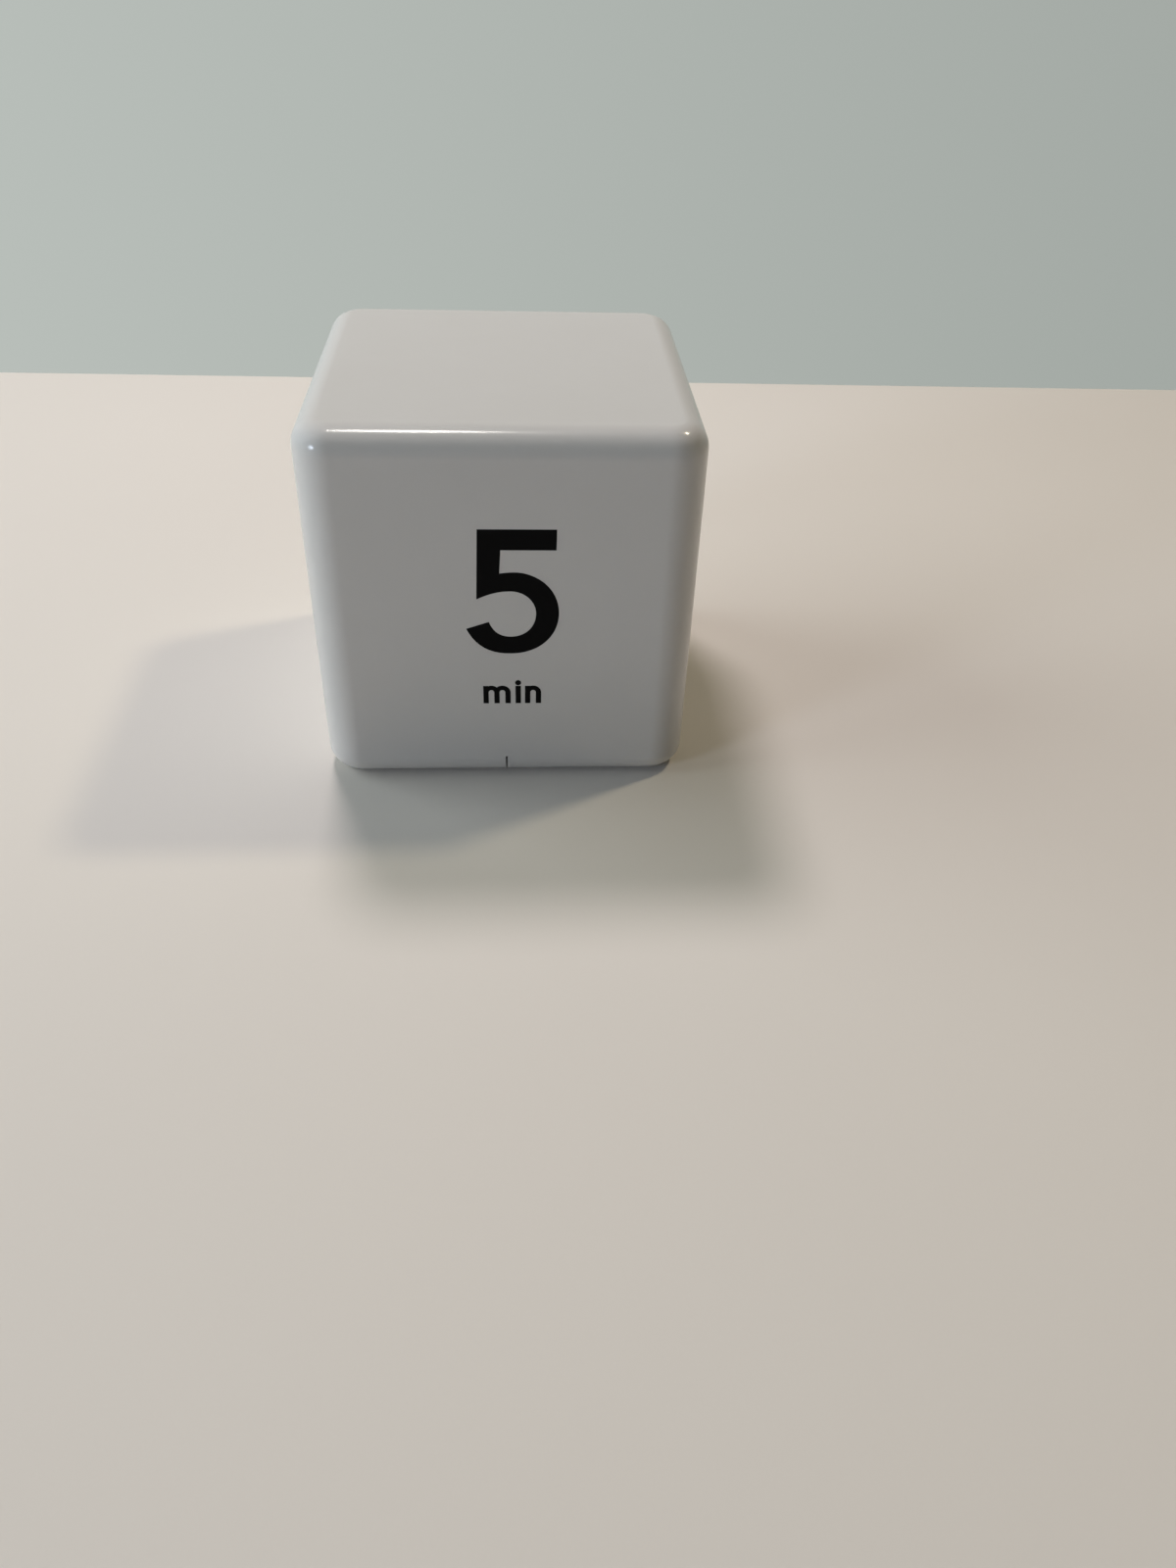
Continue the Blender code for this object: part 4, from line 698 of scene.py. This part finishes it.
def minWord():
    # m, i and n, with arches that spring from the stems
    base, top, archFoot, stem = 15.99, 19.52, 18.2, 0.91
    rise, insideRise = top + 0.05 - archFoot, top - 0.84 - archFoot

    def arches(left, counters):
        # a letter from its left edge, with the width of each space between its stems
        outline = [(left, base), (left, top), (left + stem - 0.05, top)]
        centres, start = [], left + stem
        for width in counters:
            centres.append(start + width / 2)
            start += width + stem
        for index, (middle, width) in enumerate(zip(centres, counters)):
            reach = width / 2 + stem
            opening = 180 - math.degrees(math.acos(
                (width / 2 if index == 0 else (middle - centres[index - 1]) / 2) / reach))
            closing = 0 if index == len(counters) - 1 else math.degrees(
                math.acos((centres[index + 1] - middle) / 2 / reach))
            outline += arc((middle, archFoot), (reach, rise), opening, closing, 9)
        for middle, width in reversed(list(zip(centres, counters))):
            inside = width / 2
            outline += [(middle + inside + stem, base), (middle + inside, base)]
            outline += arc((middle, archFoot), (inside, insideRise), 0, 180, 12)
            outline += [(middle - inside, base)]
        return outline

    left = 1.68
    iStem = [(left, base), (left, top), (left + stem, top), (left + stem, base)]
    dot = arc((left + stem / 2, 20.16), (0.52, 0.52), 0, 340, 20)
    return [arches(-3.79, (0.94, 0.97)), iStem, dot, arches(3.29, (0.93,))]


def madeMesh(flat):
    takeUp(flat)
    bpy.ops.object.convert(target="MESH")
    weld(bpy.context.object)
    return bpy.context.object


def flatSign(name, outlines, film):
    curve = bpy.data.curves.new(name, "CURVE")
    curve.dimensions = "2D"
    curve.fill_mode = "BOTH"
    curve.extrude = film / 2
    for outline in outlines:
        spline = curve.splines.new("POLY")
        spline.points.add(len(outline) - 1)
        for point, (x, y) in zip(spline.points, outline):
            point.co = (x * mm, y * mm, 0, 1)
        spline.use_cyclic_u = True
    sign = bpy.data.objects.new(name, curve)
    bpy.context.scene.collection.objects.link(sign)
    return madeMesh(sign)


def shifted(outlines, by):
    return [[(x + by, y) for x, y in outline] for outline in outlines]


def span(outlines):
    xs = [x for outline in outlines for x, y in outline]
    return min(xs), max(xs)


def buildNumerals():
    n = numerals
    digits = {"0": zero, "1": one, "3": three, "5": five, "6": six}
    for side, (number, turn) in n["sides"].items():
        row, edge = [], 0
        for digit in number:
            low, high = span(digits[digit]())
            row.append(shifted(digits[digit](), edge - low))
            edge += high - low + n["gap"]
        if number == "5":
            row = [five()]
        else:
            low, high = span([outline for outlines in row for outline in outlines])
            row = [shifted(outlines, n["blockMiddle"] - (low + high) / 2) for outlines in row]
        outlineSets = row + [[outline] for outline in minWord()]
        signs = [flatSign(f"{side}Sign{i}", outlines, n["film"])
                 for i, outlines in enumerate(outlineSets)]
        sign = gather(f"{side}Print{number}min", signs)
        sign.matrix_world = turned(turn) @ moved(0, -n["proud"] + n["film"] / 2) @ turned(90, "X")
        placeInMesh(sign)
        dress(sign, blackInk)
        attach(sign, "case")


buildNumerals()
print("cube timer: numerals printed")


# The face that the cube stands on. Printed marks fill the last 0.015 mm down to the table.
panel = {
    "face": 0.015 * mm, "inner": 2.2 * mm, "half": 29.3 * mm,
    "corner": (3.75 * mm, 16), "rim": (0.14 * mm, 3),
    "openingHalf": 26.65 * mm, "openingFront": -1.204 * mm, "openingBack": 23.2 * mm,
    "openingCorner": (1.0 * mm, 8),
    "notchRadius": 4.0 * mm, "notchDepth": 1.3 * mm, "notchSides": 64,
    "displayMiddle": -15.027 * mm,
    "seatLevel": 1.5 * mm, "seatGap": 0.25 * mm, "viewMargin": 1.5 * mm,
    "windowCorner": (1.2 * mm, 8), "lensCorner": (1.2 * mm, 10), "lensEdge": (0.12 * mm, 3),
    "switchSpread": 22.552 * mm, "slotHalves": (1.3 * mm, 2.7 * mm),
    "wellHalves": (2.6 * mm, 3.9 * mm), "wellDepth": 1.4 * mm, "wellCorner": (1.6 * mm, 10),
    "holeRadius": 0.7 * mm, "holeSides": 24,
    "holePitch": 3.0 * mm, "holeRow": -4.004 * mm, "holeCount": 7,
    "armInside": 28.05 * mm, "armOutside": 29.25 * mm, "armTop": 10.2 * mm, "armWidth": 7.0 * mm,
    "armRound": (0.12 * mm, 2, 30),
    "barbLow": 6.6 * mm, "barbTop": 8.4 * mm, "barbReach": 0.7 * mm,
    "barbRoot": 0.2 * mm,  # how far it starts inside the arm, which sets its slope
    "postRadius": 2.4 * mm, "postTop": 7.9 * mm, "postAcross": 23.85 * mm,
    "postYs": (-24.45 * mm, -5.604 * mm),
}


def buildSnapArm():
    # a springy arm with a barb that has a sloping back
    p = panel
    half = p["armWidth"] / 2
    low, top = p["barbLow"], p["barbTop"]
    arm = addBlock("snapArm", (p["armInside"], -half, p["inner"] - bite),
                   (p["armOutside"], half, p["armTop"]))
    barb = addBlock("barb", (p["armOutside"] - p["barbRoot"], -half, low),
                    (p["armOutside"] + p["barbReach"], half, top))
    editPiece(barb, "VERT", lambda vert: vert.co.x > p["armOutside"] and vert.co.z > top - near,
              lambda: bpy.ops.transform.translate(value=(0, 0, (low - top) / 2)))
    carve(arm, barb, "UNION")
    roundSharp(arm, *p["armRound"], clamp=True)
    return arm


def buildPanel():
    p = panel
    half, under, over = p["half"], -past, p["inner"] + past
    plate = roundedBlock(
        "displayPanelPlate", (-half, -half, under), (half, half, p["inner"]), *p["corner"])
    carve(plate, roundedCube("cubeForm", p["face"]), "INTERSECT")

    middle = p["displayMiddle"]
    windowLow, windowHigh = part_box("display_window")

    def windowTool(name, margin, high):
        return roundedBlock(name, (windowLow.x - margin, windowLow.y - margin, under),
                            (windowHigh.x + margin, windowHigh.y + margin, high),
                            *p["windowCorner"])

    def around(x, halfX, halfY, high):
        return (x - halfX, middle - halfY, under), (x + halfX, middle + halfY, high)

    openings = [
        roundedBlock("opening", (-p["openingHalf"], p["openingFront"], under),
                     (p["openingHalf"], p["openingBack"], over), *p["openingCorner"]),
        windowTool("view", -p["viewMargin"], over),
    ]
    recesses = [windowTool("seat", p["seatGap"], p["seatLevel"])]
    for way in (-1, 1):
        x = way * p["switchSpread"]
        openings.append(addBlock("slot", *around(x, *p["slotHalves"], over)))
        recesses.append(roundedBlock(
            "well", *around(x, *p["wellHalves"], p["wellDepth"]), *p["wellCorner"]))
    for index in range(p["holeCount"]):
        x = (index - (p["holeCount"] - 1) / 2) * p["holePitch"]
        openings.append(addRod(
            "hole", p["holeRadius"], under, over, (x, p["holeRow"]), p["holeSides"]))
    carve(plate, gather("openings", openings))
    carve(plate, gather("recesses", recesses))
    carve(plate, addRod("notch", p["notchRadius"], under, p["notchDepth"],
                        (0, p["openingBack"]), p["notchSides"]))
    roundSharp(plate, *p["rim"])

    fittings = spread(buildSnapArm(), onWalls(housing["pocketPlace"]))
    fittings += [
        addRod("post", p["postRadius"], p["inner"] - bite, p["postTop"], (x, y))
        for x in (-p["postAcross"], p["postAcross"]) for y in p["postYs"]]
    carve(plate, gather("fittings", fittings), "UNION")
    smoothShade(plate)
    dress(plate, panelFinish)
    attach(plate, "case")
    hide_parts("display_panel")


def buildWindow():
    low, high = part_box("display_window")
    lens = roundedBlock("windowLens", low, high, *panel["lensCorner"], *panel["lensEdge"])
    smoothShade(lens)
    dress(lens, lensFinish)
    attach(lens, "case")
    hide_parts("display_window")


# Unlit segments of the display, as faint as they are with the timer switched off.
segments = {
    "tall": 8.4 * mm, "wide": 4.5 * mm, "thick": 0.85 * mm, "gap": 0.16 * mm,
    "pointed": 0.47,  # how much of the thickness the ends' corners lose
    "pitch": 6.1 * mm, "colonRoom": 2.2 * mm, "dotPlace": 1.5 * mm,
    "film": 0.02 * mm, "depth": 2.47 * mm,
}


def buildSegments():
    s = segments
    middle, thick, low = panel["displayMiddle"], s["thick"], s["depth"]
    dot, halfWide, halfTall = thick / 2, (s["wide"] - thick) / 2, (s["tall"] - thick) / 2
    bars = {}
    for name, run in (("across", halfWide - s["gap"]), ("along", halfTall / 2 - s["gap"])):
        bars[name] = addBlock("bar", (-run, -dot, 0), (run, dot, s["film"]))
        roundEdges(bars[name], thick * s["pointed"], 1, upright)
    places = [("across", 0, y, 0) for y in (0, halfTall, -halfTall)]
    places += [("along", x, y, 90)
               for x in (-halfWide, halfWide) for y in (-halfTall / 2, halfTall / 2)]

    shown = []
    for index, side in enumerate((-1, -1, 1, 1)):
        x = (index - 1.5) * s["pitch"] + side * s["colonRoom"] / 2
        shown += [copyPiece(bars[kind], moved(x + dx, middle + dy, low) @ turned(turn))
                  for kind, dx, dy, turn in places]
    for y in (middle - s["dotPlace"], middle + s["dotPlace"]):
        shown.append(addBlock("dot", (-dot, y - dot, low), (dot, y + dot, low + s["film"])))
    for bar in bars.values():
        bpy.data.objects.remove(bar)
    digits = gather("displaySegments", shown)
    dress(digits, finishes["lcd_glass"])
    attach(digits, "case")


# Switch marks, read with the display's top edge towards -Y.
labels = {
    "size": 2.0 * mm, "away": 1.7 * mm, "curveSteps": 6,
    "marks": {"OFF": (-1, -1), "ON": (-1, 1), "LO": (1, -1), "HI": (1, 1)},
}


def buildLabels():
    for word, (way, along) in labels["marks"].items():
        clearSelection()
        bpy.ops.object.text_add()
        label = bpy.context.object
        label.name = f"mark{word.title()}"
        label.data.body = word
        label.data.align_x, label.data.align_y = "CENTER", "CENTER"
        label.data.size = labels["size"]
        label.data.extrude = panel["face"] / 2
        label.data.resolution_u = labels["curveSteps"]
        label = madeMesh(label)
        y = panel["displayMiddle"] + along * (panel["wellHalves"][1] + labels["away"])
        label.matrix_world = moved(
            way * panel["switchSpread"], y, panel["face"] / 2) @ turned(180, "X")
        placeInMesh(label)
        dress(label, greyInk)
        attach(label, "case")


door = {
    "half": 26.35 * mm, "front": -0.904 * mm, "back": 22.9 * mm,
    "face": 0.2 * mm, "inner": 2.2 * mm,
    "corner": (1.0 * mm, 10), "rim": (0.22 * mm, 4),
    "notchHalf": 5.0 * mm, "notchFront": 21.7 * mm,
    "grooveYs": (19.5 * mm, 18.2 * mm, 16.9 * mm), "grooveLength": 10 * mm,
    "grooveHalf": 0.3 * mm, "grooveDepth": 0.4 * mm,
    "grooveEnd": (0.288 * mm, 5), "grooveFloor": (0.18 * mm, 3),
    "ribHalf": 20 * mm, "ribMiddle": 10.998 * mm, "ribWidth": 1.2 * mm, "ribTop": 3.6 * mm,
    "tonguePlace": 14.49 * mm, "tongueWidth": 6 * mm, "tongueTip": -3.004 * mm,
    "tongueLow": 2.8 * mm, "tongueTop": 3.8 * mm, "tongueRoot": 0.496 * mm,
    "latchWidth": 9 * mm, "latchLegs": (21.1 * mm, 21.7 * mm, 22.3 * mm, 22.9 * mm),
    "latchTop": 4.6 * mm, "latchRound": (0.5 * mm, 5), "legThick": 0.6 * mm,
    "fittingRound": (0.08 * mm, 2),
}


def buildDoor():
    d = door
    face, root = d["face"], d["inner"] - bite
    plate = roundedBlock("batteryDoorPlate", (-d["half"], d["front"], face),
                         (d["half"], d["back"], d["inner"]), *d["corner"])
    carve(plate, addBlock("latchNotch", (-d["notchHalf"], d["notchFront"], -past),
                          (d["notchHalf"], d["back"] + past, d["inner"] + past)))
    roundSharp(plate, *d["rim"])

    halfX, halfY, depth = d["grooveLength"] / 2, d["grooveHalf"], d["grooveDepth"]
    groove = addBlock("groove", (-halfX, -halfY, face - depth), (halfX, halfY, face + depth))
    roundEdges(groove, *d["grooveEnd"], upright)
    roundEdges(groove, *d["grooveFloor"], atLevel(face + depth))
    grooves = spread(groove, [moved(0, y) for y in d["grooveYs"]])
    carve(plate, gather("grooves", grooves))

    middle, half = d["ribMiddle"], d["ribWidth"] / 2
    fittings = [addBlock("rib", (-d["ribHalf"], middle - half, root),
                         (d["ribHalf"], middle + half, d["ribTop"]))]
    for way in (-1, 1):
        left, right = (way * d["tonguePlace"] + side * d["tongueWidth"] / 2 for side in (-1, 1))
        end = (right, d["tongueRoot"], d["tongueTop"])
        tongue = addBlock("tongue", (left, d["tongueTip"], d["tongueLow"]), end)
        carve(tongue, addBlock("tongueRoot", (left, d["front"], root), end), "UNION")
        fittings.append(tongue)
    inner0, inner1, outer0, outer1 = d["latchLegs"]
    half, top = d["latchWidth"] / 2, d["latchTop"]
    latch = addBlock("latch", (-half, inner0, root), (half, inner1, top))
    for corner in ((-half, inner0, top - d["legThick"]), (-half, outer0, face)):
        carve(latch, addBlock("latchPart", corner, (half, outer1, top)), "UNION")
    roundEdges(latch, *d["latchRound"], lambda edge: atLevel(top)(edge) and all(
        v.co.y > outer1 - near for v in edge.verts))
    fittings.append(latch)
    for fitting in fittings:
        roundSharp(fitting, *d["fittingRound"], clamp=True)
    carve(plate, gather("doorFittings", fittings), "UNION")
    smoothShade(plate)
    dress(plate, doorFinish)
    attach(plate, "door")
    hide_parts("battery_door")


lever = {
    "tip": 0.5 * mm, "stemHalves": (0.9 * mm, 1.1 * mm), "stemRound": (0.22 * mm, 4),
    "ridges": 3, "ridgeGap": 0.3 * mm, "ridgeRound": (0.135 * mm, 3),
    "sliderLow": 4.5 * mm, "sliderCorner": (0.2 * mm, 3), "sliderEdge": (0.12 * mm, 2),
}


def buildLevers():
    # one lever at the origin, then a copy in each well
    v = lever
    low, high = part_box("power_switch_lever")
    x, y = v["stemHalves"]
    tip, gap = v["tip"], v["ridgeGap"]
    stem = addBlock("stem", (-x, -y, tip), (x, y, v["sliderLow"] + bite))
    roundEdges(stem, *v["stemRound"], lambda edge: upright(edge) or atLevel(tip)(edge))
    for index in range(v["ridges"]):
        across = (index - (v["ridges"] - 1) / 2) * y / 2
        groove = addBlock("groove", (-x - past, across - gap / 2, tip - past),
                          (x + past, across + gap / 2, tip + gap))
        roundEdges(groove, *v["ridgeRound"], atLevel(tip + gap))
        carve(stem, groove)
    halfX, halfY = (high.x - low.x) / 2, (high.y - low.y) / 2
    carve(stem, roundedBlock(
        "slider", (-halfX, -halfY, v["sliderLow"]), (halfX, halfY, high.z),
        *v["sliderCorner"], *v["sliderEdge"]), "UNION")
    smoothShade(stem, 30)
    for name in ("power", "volume"):
        low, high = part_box(f"{name}_switch_lever")
        twin = copyPiece(stem, moved((low.x + high.x) / 2, (low.y + high.y) / 2))
        twin.name = f"{name}LeverKnob"
        dress(twin, finishes["black_plastic"])
        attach(twin, f"{name}_lever")
        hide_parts(f"{name}_switch_lever")
    bpy.data.objects.remove(stem)


cell = {
    "radius": 5.2 * mm, "shoulder": 0.45 * mm, "sides": 96,
    "nubRadius": 1.9 * mm, "nubHeight": 1.0 * mm, "nubFoot": 0.3 * mm,
    "nubRounds": (0.105 * mm, 0.245 * mm),
    "lip": 0.55 * mm, "dip": 0.25 * mm, "dipSlope": 0.08 * mm,  # the wrap's edge over the can
    # each step inwards on the flat end, and its rise
    "footSteps": ((0.5 * mm, 0), (0.1 * mm, -0.2 * mm), (0.4 * mm, 0), (0.3 * mm, 0.15 * mm)),
}


def insetFace(piece, upwards, level, steps):
    # insets the face at this level again and again, by (inwards, rise)
    def chosen(face):
        return face.normal.z * upwards > 0.99 and abs(face.calc_center_median().z - level) < near

    editPiece(piece, "FACE", chosen, *(
        lambda step=step: bpy.ops.mesh.inset(thickness=step[0], depth=step[1]) for step in steps))


def buildCells():
    # a standing cell with its nub up, then laid down both ways
    c = cell
    low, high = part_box("battery_front")
    length = high.x - low.x
    body = length - c["nubHeight"]
    standing = addRod("cell", c["radius"], 0, body, sides=c["sides"])
    roundEdges(standing, c["shoulder"], 5, atLevel(0, body))
    small, large = c["nubRounds"]
    flat = c["radius"] - c["shoulder"] - c["lip"] - c["dipSlope"] - c["nubRadius"] - c["nubFoot"]
    insetFace(standing, 1, body, (
        (c["lip"], 0), (c["dipSlope"], -c["dip"]), (flat, 0),
        (c["nubFoot"], c["nubHeight"] + c["dip"] - small - large), (small, large), (large, small)))
    insetFace(standing, -1, 0, c["footSteps"])
    smoothShade(standing, 30)
    for name, way in (("front", -1), ("back", 1)):
        low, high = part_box(f"battery_{name}")
        foot = Vector((high.x if way < 0 else low.x, (low.y + high.y) / 2, (low.z + high.z) / 2))
        laid = copyPiece(standing, moved(*foot) @ turned(way * 90, "Y"))
        laid.name = f"{name}Cell"
        dress(laid, cellFinish(f"{name}CellWrap", foot, way, length))
        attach(laid, "case")
        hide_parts(f"battery_{name}")
    bpy.data.objects.remove(standing)


def smoothCopy(node, finish):
    # a CAD node's own shape, with its facets blended
    bodies = frame["record"]["behaviour"]["bodies"]
    body = next(name for name in bodies if node in bodies[name])
    twin = frame["nodes"][node].copy()
    twin.data = twin.data.copy()
    for key in list(twin.keys()):
        if key.startswith("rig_"):
            del twin[key]
    bpy.context.scene.collection.objects.link(twin)
    twin.parent = None
    twin.name = f"{node}Smooth"
    weld(twin, 0.002 * mm)
    takeUp(twin)
    bpy.ops.object.shade_smooth_by_angle(angle=math.radians(40))
    dress(twin, finish)
    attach(twin, body)
    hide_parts(node)


def dressNodes():
    # nodes that no piece replaces so far take their finish, round ones on a smooth copy
    slotOf = {part["node"]: part["material_slot"] for part in frame["record"]["subparts"]}
    for node, obj in frame["nodes"].items():
        slot = slotOf[node]
        if obj.hide_render:
            continue
        if node in keptNodes:
            for materialSlot in obj.material_slots:
                materialSlot.material = keptNodes[node]
        else:
            finish = sleeveFinish() if node == "capacitor" else finishes[slot]
            smoothCopy(node, finish)


buildPanel()
buildWindow()
buildSegments()
buildLabels()
print("cube timer: display panel, window, segments and marks made")
buildDoor()
buildLevers()
buildCells()
print("cube timer: battery door, levers and cells made")
dressNodes()
print("cube timer: inner pieces dressed")


cameraValues = {
    "spot": (1.708 * mm, -196.247 * mm, 128.238 * mm),
    "pitch": 38.25, "yaw": 4.503, "roll": 2.2345,  # degrees down, to the right, and over
    "lens": 26.5455,
}


def buildCamera():
    v = cameraValues
    clearSelection()
    bpy.ops.object.camera_add()
    camera = bpy.context.object
    camera.matrix_world = (
        moved(*v["spot"]) @ turned(-v["yaw"]) @ turned(90 - v["pitch"], "X") @ turned(v["roll"]))
    camera.data.lens = v["lens"]
    camera.data.sensor_width = 36
    camera.data.clip_start = 0.005
    camera.data.clip_end = 20
    bpy.context.scene.camera = camera


light = {
    "lamps": {  # spot in mm, size in mm, watts, colour
        "rightLamp": ((545, 240, 885), 100, 2.3, (1.0, 0.88, 0.64)),
        "backLamp": ((-85, 240, 530), 120, 1.6, (1.0, 0.93, 0.95)),
        "edgeLamp": ((-105, 110, 1100), 160, 3.4, (1.0, 0.96, 0.90)),
        "leftLamp": ((-880, 100, 420), 900, 5.7, (0.88, 0.98, 1.0)),
        "windowLamp": ((-790, -560, 300), 230, 2.5, (0.74, 0.84, 1.0)),
    },
    "aim": 32,  # height that the lamps point at, mm
    "unreflected": ("backLamp", "leftLamp"),  # light without a mirror image
    "onlyReflected": ("edgeLamp",),  # a mirror image without light
    "room": (0.93, 0.97, 1.0), "above": 0.01, "below": 0.75,
    "backdropLeft": srgb(187, 193, 188), "backdropRight": srgb(163, 169, 164), "backdropReach": 0.5,
    "floor": srgb(228, 222, 214),
    "floorHole": 27.9 * mm, "holeCorner": 2.3 * mm, "holeSteps": 6, "floorReach": 1.5,
    "floorEdge": 174.4 * mm, "floorTurn": -0.53,  # the table's end behind the cube
    "floorDark": 0.94, "floorTone": (90 * mm, 3, 0.5), "floorFibre": (0.5 * mm, 3, 0.6),
    "floorRough": 0.62,
}


def buildLight():
    for name, (spot, size, watts, colour) in light["lamps"].items():
        clearSelection()
        place, aim = Vector(spot) * mm, Vector((0, 0, light["aim"] * mm))
        bpy.ops.object.light_add(type="AREA", location=place)
        lamp = bpy.context.object
        lamp.name = name
        lamp.rotation_mode = "QUATERNION"
        lamp.rotation_quaternion = (place - aim).to_track_quat("Z", "Y")
        lamp.data.shape = "DISK"
        lamp.data.size = size * mm
        lamp.data.energy = watts
        lamp.data.color = colour
        lamp.visible_glossy = name not in light["unreflected"]
        lamp.visible_diffuse = name not in light["onlyReflected"]

    world = bpy.data.worlds.new("softRoom")
    bpy.context.scene.world = world
    world.use_nodes = True
    tree = world.node_tree
    background = tree.nodes["Background"]
    start = Wire(tree)

    # the light from below only reaches the underside, through the opening in the floor
    across, _, height = start.node("ShaderNodeTexCoord", output="Generated").axes()
    above, below = (tuple(c * light[key] for c in light["room"]) for key in ("above", "below"))
    room = (height > 0).mix(below, above)
    reach = light["backdropReach"]
    backdrop = ((across + reach) / (2 * reach)).mix(light["backdropLeft"], light["backdropRight"])
    rays = start.node("ShaderNodeLightPath").socket.node.outputs
    camera, glossy, through = (
        Wire(tree, rays[f"Is {kind} Ray"]) for kind in ("Camera", "Glossy", "Transmission"))
    seen = (camera + glossy).maths("ADD", through, clamp=True)
    tree.links.new(seen.mix(room, backdrop).socket, background.inputs["Color"])
    background.inputs["Strength"].default_value = 1


def buildFloor():
    # open where the cube stands, so that its underside has light when it is looked at from below
    clearSelection()
    hole, reach = light["floorHole"], light["floorReach"]
    bpy.ops.mesh.primitive_plane_add(size=2 * hole)
    floor = bpy.context.object
    floor.name = "floor"
    editPiece(floor, "VERT", lambda vert: True, lambda: bpy.ops.mesh.bevel(
        offset=light["holeCorner"], segments=light["holeSteps"], affect="VERTICES",
        clamp_overlap=False))
    editPiece(floor, "FACE", lambda face: True, bpy.ops.mesh.extrude_region,
              lambda: bpy.ops.transform.resize(value=(reach / hole, reach / hole, 1)),
              lambda: bpy.ops.mesh.delete(type="ONLY_FACE"))
    editPiece(floor, "FACE",
              lambda face: all(max(abs(v.co.x), abs(v.co.y)) < 2 * hole for v in face.verts),
              lambda: bpy.ops.mesh.delete(type="ONLY_FACE"))
    turn = math.radians(light["floorTurn"])
    editPiece(floor, "FACE", lambda face: True, lambda: bpy.ops.mesh.bisect(
        plane_co=(0, light["floorEdge"], 0), plane_no=(-math.sin(turn), math.cos(turn), 0),
        clear_outer=True))
    editPiece(floor, "FACE", lambda face: face.normal.z < 0, bpy.ops.mesh.flip_normals)
    finish = Finish("paleTable")
    tone, fibre = finish.noise(*light["floorTone"]), finish.noise(*light["floorFibre"])
    darker = tuple(c * light["floorDark"] for c in light["floor"])
    floor.data.materials.append(finish.wire(
        colour=(tone * 0.5 + fibre * 0.2).mix(light["floor"], darker),
        rough=light["floorRough"] + (fibre - 0.5) * 0.1, normal=fibre.bump(0.01 * mm)))
    # clear from behind
    tree = finish.start.tree
    both = finish.start.node("ShaderNodeMixShader", {}, {
        0: finish.start.node("ShaderNodeNewGeometry", output="Backfacing"),
        1: Wire(tree, finish.shader.outputs[0]), 2: finish.start.node("ShaderNodeBsdfTransparent")})
    tree.links.new(both.socket, tree.nodes["Material Output"].inputs["Surface"])


buildCamera()
buildLight()
buildFloor()
bpy.context.scene.view_settings.view_transform = "Standard"
print("cube timer: camera, light and floor set")
